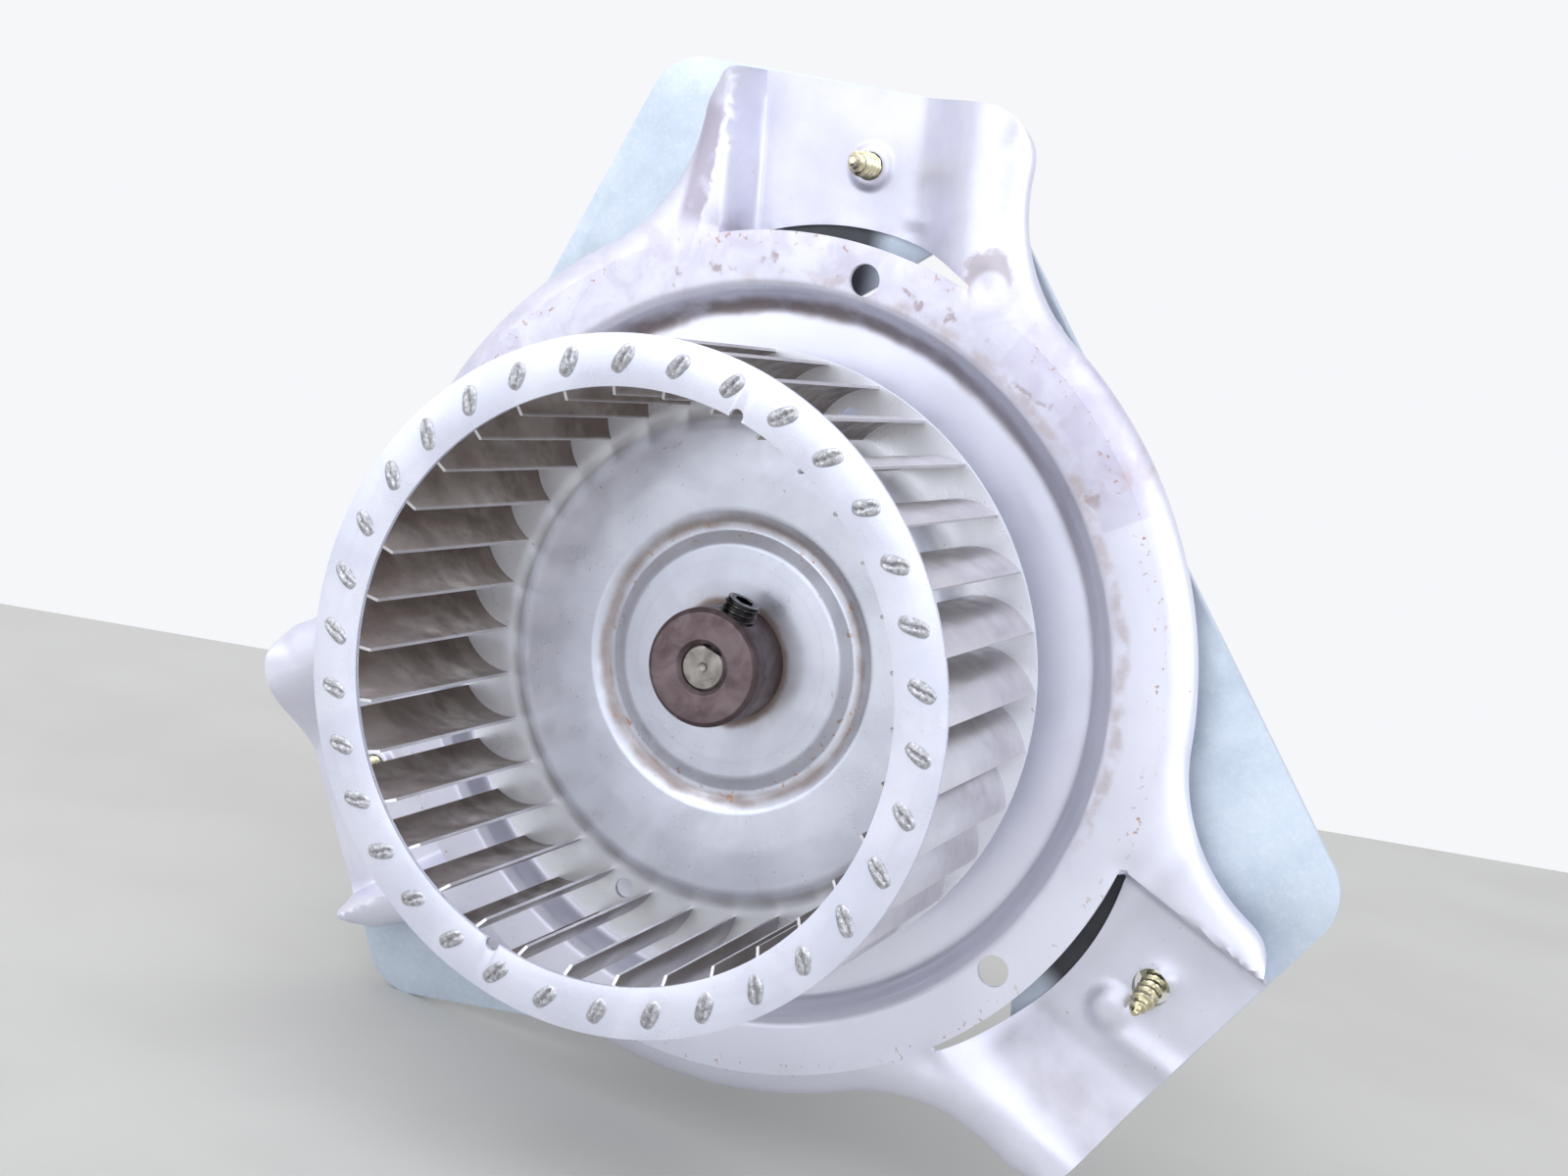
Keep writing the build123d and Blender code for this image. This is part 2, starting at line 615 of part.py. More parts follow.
# ---------------------------------------------------------------- terminals and earth screw
BLOCK_ANGLE = 135               # the terminal block sits on the rear shield's skirt
TERMINALS = 3
TERMINAL_PITCH = 7.5
BLOCK_START = STACK_Y + STACK + 1.0
BLOCK_WIDTH = 12.0
BLOCK_HEIGHT = 6.0
BLOCK_Y = BLOCK_START + BLOCK_WIDTH / 2
BLOCK_SEAT_R = BOLT_PCR + LEG_R + 0.02
TAB_WIDTH = 4.8
TAB_SHEET = 0.8
TAB_LENGTH = 11.0
TAB_SLOT_SLACK = 0.06
block_plane = Plane(
    origin=(0, 0, 0),
    x_dir=(math.sin(math.radians(BLOCK_ANGLE)), 0, -math.cos(math.radians(BLOCK_ANGLE))),
    z_dir=(math.cos(math.radians(BLOCK_ANGLE)), 0, math.sin(math.radians(BLOCK_ANGLE))),
)
with BuildPart() as terminal_block:
    with BuildSketch(block_plane.offset(STATOR_R + BLOCK_HEIGHT)):
        with Locations((0, BLOCK_Y)):
            RectangleRounded(TERMINALS * TERMINAL_PITCH + 3, BLOCK_WIDTH, 1.5)
    extrude(amount=-BLOCK_HEIGHT)
    fillet(terminal_block.faces().sort_by(SortBy.DISTANCE)[-1].edges(), 0.8)
    with BuildSketch(Plane.XY):
        Polygon(
            (0, BLOCK_START - 1), (BLOCK_SEAT_R, BLOCK_START - 1),
            (BLOCK_SEAT_R, BLOCK_START + BLOCK_WIDTH + 1), (0, BLOCK_START + BLOCK_WIDTH + 1),
            align=None,
        )
    revolve(axis=Axis.Y, mode=Mode.SUBTRACT)
    with BuildSketch(block_plane.offset(STATOR_R + BLOCK_HEIGHT)):
        with Locations((0, BLOCK_Y)):
            with GridLocations(TERMINAL_PITCH, 0, TERMINALS, 1):
                Rectangle(TAB_WIDTH + TAB_SLOT_SLACK, TAB_SHEET + TAB_SLOT_SLACK)
    extrude(amount=-4, mode=Mode.SUBTRACT)
save(terminal_block.part, "terminal_block")

with BuildPart() as terminal_tabs:
    with BuildSketch(block_plane.offset(STATOR_R + 2.4)):
        with Locations((0, BLOCK_Y)):
            with GridLocations(TERMINAL_PITCH, 0, TERMINALS, 1):
                Rectangle(TAB_WIDTH, TAB_SHEET)
    extrude(amount=TAB_LENGTH)
    chamfer(terminal_tabs.edges().filter_by(Axis.Y).group_by(SortBy.DISTANCE)[-1], 0.3)
save(terminal_tabs.part, "terminal_tabs")

GROUND_HEAD_AF = 7.0
GROUND_HEAD = 2.6
GROUND_REACH = 4.5
with BuildPart() as ground_screw:
    with BuildSketch(at(SHIELD_Y)):
        with Locations(GROUND_SITE):
            RegularPolygon(GROUND_HEAD_AF / 2, 6, major_radius=False)
    extrude(amount=-GROUND_HEAD)
    with BuildSketch(at(SHIELD_Y)):
        with Locations(GROUND_SITE):
            Circle(GROUND_R)
    extrude(amount=GROUND_REACH)
save(ground_screw.part, "ground_screw")

# ---------------------------------------------------------------- rotor
ROTOR_R = 22.0
ROTOR_OVERHANG = 0.5
CAGE_RING = 3.5
CAGE_RING_INNER_R = 13.0
CAGE_RING_OUTER_R = 21.4
BARS = 17
BAR_PCR = 19.4
BAR_R = 1.2
CORE_VENTS = 4
CORE_VENT_PCR = 10.0
CORE_VENT_R = 2.4
CORE_START = STACK_Y - ROTOR_OVERHANG
CORE_LENGTH = STACK + 2 * ROTOR_OVERHANG
PRESS_R = SHAFT_R + 0.01

with BuildPart() as rotor_core:
    with BuildSketch(at(CORE_START)):
        Circle(ROTOR_R)
        Circle(PRESS_R, mode=Mode.SUBTRACT)
        with PolarLocations(BAR_PCR, BARS):
            Circle(BAR_R + 0.03, mode=Mode.SUBTRACT)
        with PolarLocations(CORE_VENT_PCR, CORE_VENTS, start_angle=45):
            Circle(CORE_VENT_R, mode=Mode.SUBTRACT)
    extrude(amount=-CORE_LENGTH)
save(rotor_core.part, "rotor_core")

with BuildPart() as rotor_cage:
    with BuildSketch(at(CORE_START - CAGE_RING)):
        with PolarLocations(BAR_PCR, BARS):
            Circle(BAR_R)
    extrude(amount=-(CORE_LENGTH + 2 * CAGE_RING))
    for y in (CORE_START - CAGE_RING, CORE_START + CORE_LENGTH):
        with BuildSketch(at(y)):
            Circle(CAGE_RING_OUTER_R)
            Circle(CAGE_RING_INNER_R, mode=Mode.SUBTRACT)
        extrude(amount=-CAGE_RING)
save(rotor_cage.part, "rotor_cage")

SHAFT_START = -18.2
SHAFT_END = REAR_FACE_Y + 17.5
FLAT_ANGLE = 74                 # the D flat and the set screw face this way
FLAT_DISTANCE = 3.3
FLAT_LENGTH = 16.0
CENTRE_MARK_R = 0.9
flat_point = polar(FLAT_DISTANCE + 5, FLAT_ANGLE)

with BuildPart() as motor_shaft:
    with BuildSketch(at(SHAFT_START)):
        Circle(SHAFT_R)
    extrude(amount=-(SHAFT_END - SHAFT_START))
    chamfer(motor_shaft.edges().filter_by(GeomType.CIRCLE), 0.4)
    with BuildSketch(at(SHAFT_START)):
        with Locations(Location((*flat_point, 0), (0, 0, FLAT_ANGLE))):
            Rectangle(10, 12)
    extrude(amount=-FLAT_LENGTH, mode=Mode.SUBTRACT)
    with BuildSketch(Plane.XY):
        Polygon(
            (0, SHAFT_START), (CENTRE_MARK_R, SHAFT_START), (0, SHAFT_START + CENTRE_MARK_R),
            align=None,
        )
    revolve(axis=Axis.Y, mode=Mode.SUBTRACT)
save(motor_shaft.part, "motor_shaft")

WASHER_R = 6.4
WASHER = 1.6
WASHER_START = BEARING_Y + BEARING_HALF + 0.3
with BuildPart() as thrust_washers:
    with BuildSketch(at(WASHER_START)):
        Circle(WASHER_R)
        Circle(PRESS_R, mode=Mode.SUBTRACT)
    extrude(amount=-WASHER)
    mirror(about=middle)
save(thrust_washers.part, "thrust_washers")

SLEEVE_R = 5.6
SLEEVE_START = WASHER_START + WASHER
with BuildPart() as rotor_spacers:
    with BuildSketch(at(SLEEVE_START)):
        Circle(SLEEVE_R)
        Circle(PRESS_R, mode=Mode.SUBTRACT)
    extrude(amount=-(CORE_START - SLEEVE_START))
    mirror(about=middle)
save(rotor_spacers.part, "rotor_spacers")

# ---------------------------------------------------------------- through bolts and nuts
BOLT_HEAD_AF = 7.0
BOLT_HEAD = 2.8
NUT = 3.0
BOLT_TIP_Y = SEAL_Y + 0.9
with BuildPart() as through_bolts:
    with BuildSketch(at(REAR_FACE_Y)):
        with PolarLocations(BOLT_PCR, len(BOLT_ANGLES), start_angle=BOLT_ANGLES[0]):
            RegularPolygon(BOLT_HEAD_AF / 2, 6, major_radius=False)
    extrude(amount=-BOLT_HEAD)
    with BuildSketch(at(REAR_FACE_Y)):
        with PolarLocations(BOLT_PCR, len(BOLT_ANGLES), start_angle=BOLT_ANGLES[0]):
            Circle(BOLT_R)
    extrude(amount=REAR_FACE_Y - BOLT_TIP_Y)
save(through_bolts.part, "through_bolts")

with BuildPart() as through_bolt_nuts:
    with BuildSketch(at(MOTOR_PLATE_Y)):
        with PolarLocations(BOLT_PCR, len(BOLT_ANGLES), start_angle=BOLT_ANGLES[0]):
            RegularPolygon(BOLT_HEAD_AF / 2, 6, major_radius=False)
            Circle(BOLT_R + 0.02, mode=Mode.SUBTRACT)
    extrude(amount=NUT)
save(through_bolt_nuts.part, "through_bolt_nuts")

# ---------------------------------------------------------------- cooling fan behind the motor
FAN_HUB_R = 9.0
FAN_Y = REAR_FACE_Y + 5.5
FAN_HUB_LENGTH = 10.0
FAN_R = 36.0
FAN_BLADES = 6
FAN_PITCH_ANGLE = 28
FAN_SHEET = 1.0
FAN_SPIDER_R = 14.0
BLADE_HALF_CHORD = 8.5
BLADE_CORNER_R = 5.0
FAN_MIDDLE_Y = FAN_Y + FAN_HUB_LENGTH / 2
with BuildPart() as cooling_fan_hub:
    with BuildSketch(at(FAN_Y)):
        Circle(FAN_HUB_R)
        Circle(PRESS_R, mode=Mode.SUBTRACT)
    extrude(amount=-FAN_HUB_LENGTH)
    chamfer(cooling_fan_hub.faces().sort_by(Axis.Y)[-1].outer_wire().edges(), 0.8)
save(cooling_fan_hub.part, "cooling_fan_hub")


def fan_blade_plane(angle):
    """Plane of one flat blade, twisted by the pitch angle about its radius."""
    outward = Vector(math.cos(math.radians(angle)), 0, math.sin(math.radians(angle)))
    normal = Vector(0, -1, 0).rotate(Axis((0, 0, 0), outward), FAN_PITCH_ANGLE)
    return Plane(origin=(0, FAN_MIDDLE_Y, 0), x_dir=outward, z_dir=normal)


with BuildPart() as cooling_fan_blades:
    with BuildSketch(at(FAN_MIDDLE_Y - FAN_SHEET / 2)):
        Circle(FAN_SPIDER_R)
        Circle(FAN_HUB_R, mode=Mode.SUBTRACT)
    extrude(amount=-FAN_SHEET)
    for k in range(FAN_BLADES):
        with BuildSketch(fan_blade_plane(k * 360 / FAN_BLADES)):
            with Locations(((FAN_HUB_R + FAN_R) / 2 + 1, 0)):
                RectangleRounded(FAN_R - FAN_HUB_R - 2, 2 * BLADE_HALF_CHORD, BLADE_CORNER_R)
        extrude(amount=FAN_SHEET / 2, both=True)
save(cooling_fan_blades.part, "cooling_fan_blades")

# ---------------------------------------------------------------- wheel
BLADE_TIP_ANGLE = 9.72          # of the first blade's outer edge, counter-clockwise of +X
BLADE_TAIL = (44.1, 6.8)        # inner edge, with the outer edge at (53.6, 0)
BLADE_BELLY = (49.7, 4.9)
BLADE_TIP = (53.6, 0)
TAB_INNER_R = 48.1
TAB_OUTER_R = 51.9
TAB_R = 50.1
TAB_TURN = 5.7                  # tab centre, counter-clockwise of its blade's outer edge
TAB_SLANT = -36                 # of the clinched head, from radial
HEAD_LENGTH = 4.8
HEAD_WIDTH = 2.6
HEAD_RISE = 0.55
SLOT_SLACK = 0.12
NOTCH_ANGLE = 76
NOTCH_PCR = 46.3
NOTCH_R = 1.15
WHEEL_HOLE_R = 1.8
WHEEL_HOLE_PCR = 46.6

tip_plane_turn = Location((0, 0, 0), (0, 0, BLADE_TIP_ANGLE))
blade_start = WHEEL_FRONT + WHEEL_SHEET
blade_length = BACK_PLATE_Y - blade_start

with BuildPart() as one_blade:
    with BuildSketch(at(blade_start) * tip_plane_turn):
        with BuildLine():
            ThreePointArc(BLADE_TAIL, BLADE_BELLY, BLADE_TIP)
        trace(line_width=BLADE_SHEET)
    extrude(amount=-blade_length)
    with BuildSketch(at(WHEEL_FRONT) * tip_plane_turn):
        with BuildLine():
            ThreePointArc(BLADE_TAIL, BLADE_BELLY, BLADE_TIP)
        trace(line_width=BLADE_SHEET)
        Circle(TAB_OUTER_R, mode=Mode.INTERSECT)
        Circle(TAB_INNER_R, mode=Mode.SUBTRACT)
    extrude(amount=-(WHEEL_WIDTH + WHEEL_SHEET))
    for y, direction in ((WHEEL_FRONT, 1), (BACK_PLATE_Y + WHEEL_SHEET, -1)):
        with BuildSketch(at(y) * tip_plane_turn):
            with Locations(Location((*polar(TAB_R, TAB_TURN), 0), (0, 0, TAB_TURN + TAB_SLANT))):
                SlotOverall(HEAD_LENGTH, HEAD_WIDTH)
        extrude(amount=direction * HEAD_RISE)

with BuildPart() as wheel_blades:
    for k in range(BLADES):
        add(one_blade.part.rotate(Axis.Y, -BLADE_PITCH * k))
save(wheel_blades.part, "wheel_blades")

with BuildPart() as tab_slots:
    with BuildSketch(at(WHEEL_FRONT - 1) * tip_plane_turn):
        with BuildLine():
            ThreePointArc(BLADE_TAIL, BLADE_BELLY, BLADE_TIP)
        trace(line_width=BLADE_SHEET + 2 * SLOT_SLACK)
        Circle(TAB_OUTER_R + SLOT_SLACK, mode=Mode.INTERSECT)
        Circle(TAB_INNER_R - SLOT_SLACK, mode=Mode.SUBTRACT)
    extrude(amount=-(WHEEL_WIDTH + 4))

with BuildPart() as wheel_front_ring:
    with BuildSketch(at(WHEEL_FRONT)):
        Circle(WHEEL_R)
        Circle(RING_INNER_R, mode=Mode.SUBTRACT)
        with PolarLocations(NOTCH_PCR, 2, start_angle=NOTCH_ANGLE):
            Circle(NOTCH_R, mode=Mode.SUBTRACT)
    extrude(amount=-WHEEL_SHEET)
    for k in range(BLADES):
        add(tab_slots.part.rotate(Axis.Y, -BLADE_PITCH * k), mode=Mode.SUBTRACT)
save(wheel_front_ring.part, "wheel_front_ring")

HUB_R = 10.15
HUB_FRONT = -18.8
PLATEAU = 1.8                   # the back plate's middle stands forward of its rim
GROOVE_R = 23.2
GROOVE_DEPTH = 1.4
SPIGOT_R = 7.6
LEVEL = BACK_PLATE_Y - PLATEAU
PLATE_BEND_R = 0.9


def wheel_plate_line(shift):
    """Corners of one skin of the wheel's back plate, from its rim to the hub."""
    corners = [
        (WHEEL_R, BACK_PLATE_Y),
        (42.6, BACK_PLATE_Y),
        (40.4, LEVEL),
        (GROOVE_R + 3.0, LEVEL),
        (GROOVE_R + 1.0, LEVEL + GROOVE_DEPTH),
        (GROOVE_R - 1.0, LEVEL + GROOVE_DEPTH),
        (GROOVE_R - 3.0, LEVEL),
        (SPIGOT_R + 0.05, LEVEL),
    ]
    return [(radius, y + shift) for radius, y in corners]


with BuildPart() as wheel_back_plate:
    with BuildSketch(Plane.XY):
        with BuildLine():
            plate_line = FilletPolyline(*wheel_plate_line(0), radius=PLATE_BEND_R)
            back_line = FilletPolyline(*wheel_plate_line(WHEEL_SHEET), radius=PLATE_BEND_R)
            Line(plate_line @ 0, back_line @ 0)
            Line(plate_line @ 1, back_line @ 1)
        make_face()
    revolve(axis=Axis.Y)
    for k in range(BLADES):
        add(tab_slots.part.rotate(Axis.Y, -BLADE_PITCH * k), mode=Mode.SUBTRACT)
    with BuildSketch(at(HUB_FRONT)):
        with PolarLocations(WHEEL_HOLE_PCR, 2, start_angle=NOTCH_ANGLE):
            Circle(WHEEL_HOLE_R)
    extrude(amount=-20, mode=Mode.SUBTRACT)
save(wheel_back_plate.part, "wheel_back_plate")

SET_SCREW_R = 3.1
SET_SCREW_Y = -14.8
SET_SCREW_TOP = 12.7
HUB_CHAMFER = 0.8
screw_plane = Plane(
    origin=(0, SET_SCREW_Y, 0),
    x_dir=(0, 1, 0),
    z_dir=(math.cos(math.radians(FLAT_ANGLE)), 0, math.sin(math.radians(FLAT_ANGLE))),
)
with BuildPart() as wheel_hub:
    with BuildSketch(Plane.XY):
        Polygon(
            (PRESS_R + HUB_CHAMFER, HUB_FRONT), (HUB_R - HUB_CHAMFER, HUB_FRONT),
            (HUB_R, HUB_FRONT + HUB_CHAMFER), (HUB_R, LEVEL), (SPIGOT_R, LEVEL),
            (SPIGOT_R, LEVEL + WHEEL_SHEET), (SPIGOT_R + 1.6, LEVEL + WHEEL_SHEET),
            (SPIGOT_R + 0.8, LEVEL + WHEEL_SHEET + 1.2), (PRESS_R, LEVEL + WHEEL_SHEET + 1.2),
            (PRESS_R, HUB_FRONT + HUB_CHAMFER),
            align=None,
        )
    revolve(axis=Axis.Y)
    with BuildSketch(screw_plane):
        Circle(SET_SCREW_R + 0.03)
    extrude(amount=HUB_R + 2, mode=Mode.SUBTRACT)
save(wheel_hub.part, "wheel_hub")

with BuildPart() as hub_set_screw:
    with BuildSketch(screw_plane.offset(FLAT_DISTANCE + 0.02)):
        Circle(SET_SCREW_R)
    extrude(amount=SET_SCREW_TOP - FLAT_DISTANCE - 0.02)
    chamfer(hub_set_screw.edges().filter_by(GeomType.CIRCLE), 0.4)
    with BuildSketch(screw_plane.offset(SET_SCREW_TOP)):
        RegularPolygon(1.6, 6, major_radius=False)
    extrude(amount=-3, mode=Mode.SUBTRACT)
save(hub_set_screw.part, "hub_set_screw")
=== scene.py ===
import math
from collections import Counter
from contextlib import contextmanager

import bmesh
import bpy
import numpy as np
from mathutils import Matrix, Vector, geometry


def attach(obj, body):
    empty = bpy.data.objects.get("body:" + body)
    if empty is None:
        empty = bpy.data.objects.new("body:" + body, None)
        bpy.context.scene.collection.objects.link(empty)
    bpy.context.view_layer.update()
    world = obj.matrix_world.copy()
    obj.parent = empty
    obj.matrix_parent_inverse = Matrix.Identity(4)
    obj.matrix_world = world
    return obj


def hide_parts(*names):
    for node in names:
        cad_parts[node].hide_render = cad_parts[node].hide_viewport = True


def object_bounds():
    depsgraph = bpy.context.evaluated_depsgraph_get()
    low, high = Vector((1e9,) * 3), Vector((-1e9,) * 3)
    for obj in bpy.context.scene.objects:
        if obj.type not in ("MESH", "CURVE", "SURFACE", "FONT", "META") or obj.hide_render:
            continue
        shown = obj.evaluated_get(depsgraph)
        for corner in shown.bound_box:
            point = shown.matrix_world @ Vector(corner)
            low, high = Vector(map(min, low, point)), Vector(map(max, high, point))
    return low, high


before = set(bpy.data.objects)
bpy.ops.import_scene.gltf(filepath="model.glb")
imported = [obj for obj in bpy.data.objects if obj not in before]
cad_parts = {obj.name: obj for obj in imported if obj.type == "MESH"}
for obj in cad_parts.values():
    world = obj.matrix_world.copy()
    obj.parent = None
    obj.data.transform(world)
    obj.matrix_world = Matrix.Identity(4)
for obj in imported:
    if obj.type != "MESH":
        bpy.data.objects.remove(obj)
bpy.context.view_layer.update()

# Combustion fan.  Lengths below are in millimetres and become metres where a mesh is made.
# The shaft runs along Y, the wheel faces -Y, and one lug points up along +Z.
MM = 0.001
TURN = 2 * math.pi

# ---- shared dimensions
LUGS = 3
LUG_PITCH = 360 / LUGS
LUG_ANGLES = [90 - LUG_PITCH * k for k in range(LUGS)]
HOLE_TURN = 5.5                 # the mounting holes sit this far clockwise of the lugs
HOLE_ANGLES = [angle - HOLE_TURN for angle in LUG_ANGLES]
SHEET = 1.0
PANEL_DEPTH = 9.3
WHEEL_FRONT = -51.4
WHEEL_SHEET = 0.8
RING_INNER_R = 45.9
WHEEL_R = 53.95
BACK_PLATE_Y = -5.75
BLADES = 34
BLADE_PITCH = 360 / BLADES
BLADE_TIP_ANGLE = 9.72
NOTCH_ANGLE = 76
FLAT_ANGLE = 74
NOTCH_ANGLES = (NOTCH_ANGLE, NOTCH_ANGLE + 180)
MOTOR_PLATE_Y = 10.3
SHIELD_Y = 11.8


# ---- plane geometry
def polar(radius, angle):
    """Point in the face-on view (x right, z up), angle in degrees counter-clockwise from +X."""
    return np.array([radius * math.cos(math.radians(angle)), radius * math.sin(math.radians(angle))])


def smooth(t):
    """Quintic ease from 0 to 1."""
    t = np.clip(t, 0, 1)
    return t * t * t * (t * (6 * t - 15) + 10)


def rounded(corners, closed=True, steps=6):
    """Polyline whose corners (a, b, radius) are replaced by arcs."""
    count = len(corners)
    line = []
    for i, (a, b, radius) in enumerate(corners):
        here = np.array([a, b], float)
        if radius <= 0 or (not closed and i in (0, count - 1)):
            line.append(here)
            continue
        before = np.array(corners[i - 1][:2], float) - here
        after = np.array(corners[(i + 1) % count][:2], float) - here
        before /= np.linalg.norm(before)
        after /= np.linalg.norm(after)
        half = math.acos(float(np.clip(before @ after, -1, 1))) / 2
        if half > math.pi / 2 - 1e-3:
            line.append(here)
            continue
        middle = (before + after) / np.linalg.norm(before + after)
        centre = here + middle * radius / math.sin(half)
        start = here + before * radius / math.tan(half) - centre
        bend = math.pi - 2 * half
        if before[0] * after[1] - before[1] * after[0] > 0:
            bend = -bend
        for j in range(steps + 1):
            c, s = math.cos(bend * j / steps), math.sin(bend * j / steps)
            line.append(centre + np.array([c * start[0] - s * start[1], s * start[0] + c * start[1]]))
    return line


def resample(loop, spacing):
    """A closed loop's points at even spacing."""
    loop = np.array(loop)
    ahead = np.roll(loop, -1, axis=0)
    lengths = np.linalg.norm(ahead - loop, axis=1)
    total = lengths.sum()
    marks = np.concatenate([[0], np.cumsum(lengths)])
    count = int(round(total / spacing))
    places = np.arange(count) * total / count
    ring = np.vstack([loop, loop[:1]])
    return np.stack([np.interp(places, marks, ring[:, i]) for i in (0, 1)], axis=1)


def circle(radius, steps, centre=(0, 0)):
    """Points round a circle, counter-clockwise."""
    turns = np.arange(steps) * TURN / steps
    return np.stack([centre[0] + radius * np.cos(turns), centre[1] + radius * np.sin(turns)], axis=1)


def inside(points, loop):
    """Which of the points lie in the closed loop."""
    found = np.zeros(len(points), bool)
    x, y = points[:, 0], points[:, 1]
    for (ax, ay), (bx, by) in zip(loop, np.roll(loop, -1, axis=0)):
        if ay == by:
            continue
        crosses = (ay > y) != (by > y)
        found ^= crosses & (x < (bx - ax) * (y - ay) / (by - ay) + ax)
    return found


def gap_to(points, loop):
    """Distance from each point to the nearest point of the loop."""
    return np.array([np.linalg.norm(loop - p, axis=1).min() for p in points])


def triangulate(outer, holes, extra=()):
    """Triangles that fill the outer loop and leave the holes open: (points, faces)."""
    loops = [np.array(loop) for loop in [outer, *holes]]
    points, edges = [], []
    for loop in loops:
        first = len(points)
        points += [tuple(p) for p in loop]
        edges += [(first + i, first + (i + 1) % len(loop)) for i in range(len(loop))]
    points += [tuple(p) for p in extra]
    vectors = [Vector(p) for p in points]
    made = geometry.delaunay_2d_cdt(vectors, edges, [], 0, 1e-7)
    flat = np.array([(p.x, p.y) for p in made[0]])
    faces = np.array([f for f in made[2] if len(f) == 3])
    middles = flat[faces].mean(axis=1)
    keep = inside(middles, loops[0])
    for hole in loops[1:]:
        keep &= ~inside(middles, hole)
    return flat, faces[keep]


# ---- mesh helpers
def make_object(name, points, faces):
    """A mesh object from points in millimetres."""
    mesh = bpy.data.meshes.new(name)
    mesh.from_pydata([(p[0] * MM, p[1] * MM, p[2] * MM) for p in points], [], [list(f) for f in faces])
    obj = bpy.data.objects.new(name, mesh)
    bpy.context.scene.collection.objects.link(obj)
    return obj


@contextmanager
def editing(mesh):
    """The mesh as a bmesh, written back at the end."""
    work = bmesh.new()
    work.from_mesh(mesh)
    yield work
    work.to_mesh(mesh)
    work.free()


def tidy_mesh(obj, merge=1e-6):
    """Merges doubled points and turns every face outwards."""
    with editing(obj.data) as work:
        bmesh.ops.remove_doubles(work, verts=work.verts, dist=merge)
        bmesh.ops.dissolve_degenerate(work, edges=work.edges, dist=merge / 10)
        bmesh.ops.recalc_face_normals(work, faces=work.faces)


def lifted(flat, depth):
    """Points of the face-on view at their depths along the shaft."""
    return [(x, y, z) for (x, z), y in zip(flat, depth)]


def quads(first, rows, count, flip=False):
    """Faces between rows of count points, each row closed on itself; flip turns them over."""
    faces = []
    for i in range(rows - 1):
        for j in range(count):
            k = (j + 1) % count
            a, b = first + i * count, first + (i + 1) * count
            faces.append((a + j, b + j, b + k, a + k) if flip else (a + j, a + k, b + k, b + j))
    return faces


def apply_modifiers(obj):
    """Replaces the object's mesh by what its modifiers make of it."""
    graph = bpy.context.evaluated_depsgraph_get()
    mesh = bpy.data.meshes.new_from_object(obj.evaluated_get(graph))
    obj.modifiers.clear()
    obj.data = mesh


def bevel(obj, width, segments=2, angle=35):
    """Rounds the sharp edges."""
    made = obj.modifiers.new("edges", "BEVEL")
    made.width = width * MM
    made.segments = segments
    made.limit_method = "ANGLE"
    made.angle_limit = math.radians(angle)
    apply_modifiers(obj)


def cut(obj, cutter):
    """Subtracts the cutter, then removes it."""
    made = obj.modifiers.new("cut", "BOOLEAN")
    made.operation = "DIFFERENCE"
    made.solver = "EXACT"
    made.object = cutter
    apply_modifiers(obj)
    bpy.data.objects.remove(cutter)


def piece(obj, body, materials, node, sharp=35):
    """Shades a finished mesh smooth, gives it its materials, hangs it under its body's empty and hides the
    CAD node it stands for.
    """
    obj.data.materials.clear()
    for material in materials if isinstance(materials, list) else [materials]:
        obj.data.materials.append(material)
    obj.data.shade_smooth()
    obj.data.set_sharp_from_angle(angle=math.radians(sharp))
    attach(obj, body)
    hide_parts(node)
    return obj


def lathe(name, profile, steps=160, closed=True):
    """Turns the profile, points (radius, y), about the shaft axis."""
    count = len(profile)
    points, faces = [], []
    for i in range(steps):
        c, s = math.cos(TURN * i / steps), math.sin(TURN * i / steps)
        points += [(r * c, y, r * s) for r, y in profile]
        ahead = (i + 1) % steps
        for j in range(count if closed else count - 1):
            k = (j + 1) % count
            faces.append((i * count + j, i * count + k, ahead * count + k, ahead * count + j))
    obj = make_object(name, points, faces)
    tidy_mesh(obj)
    return obj


def slab(name, outer, holes, y_front, y_back):
    """A flat plate cut to the outer loop, with holes."""
    flat, triangles = triangulate(outer, holes)
    count = len(flat)
    points = [(x, y_front, z) for x, z in flat] + [(x, y_back, z) for x, z in flat]
    faces = [tuple(t) for t in triangles] + [tuple(count + i for i in reversed(t)) for t in triangles]
    corners = [(t[i], t[i - 2]) for t in triangles for i in range(3)]
    sides = Counter((min(pair), max(pair)) for pair in corners)
    faces += [(a, b, b + count, a + count) for (a, b), used in sides.items() if used == 1]
    obj = make_object(name, points, faces)
    tidy_mesh(obj)
    return obj


def join(name, objects):
    """One object from several, keeping material slots' order."""
    work = bmesh.new()
    for obj in objects:
        work.from_mesh(obj.data)
    mesh = bpy.data.meshes.new(name)
    work.to_mesh(mesh)
    work.free()
    for obj in objects:
        bpy.data.objects.remove(obj)
    made = bpy.data.objects.new(name, mesh)
    bpy.context.scene.collection.objects.link(made)
    return made


def drill(obj, radius, sites, front, back, steps):
    """Cuts round holes parallel to the shaft."""
    cutters = [slab("cutter", circle(radius, steps, site), [], front, back) for site in sites]
    cut(obj, join("cutters", cutters))


def move(obj, matrix):
    """Bakes a matrix, whose shift is in millimetres, into the mesh."""
    matrix = matrix.copy()
    matrix.translation = matrix.translation * MM
    obj.data.transform(matrix)
    return obj


def spin_y(degrees):
    """Turn that is counter-clockwise in the face-on view."""
    return Matrix.Rotation(-math.radians(degrees), 4, "Y")


# ---- material recipes
def opaque(colour):
    """A colour with full alpha; a node's socket stays as it is."""
    return (*colour, 1) if isinstance(colour, tuple) else colour


def shade(colour, factor):
    """A darker or lighter version of a colour."""
    return tuple(min(1.0, factor * c) for c in colour)


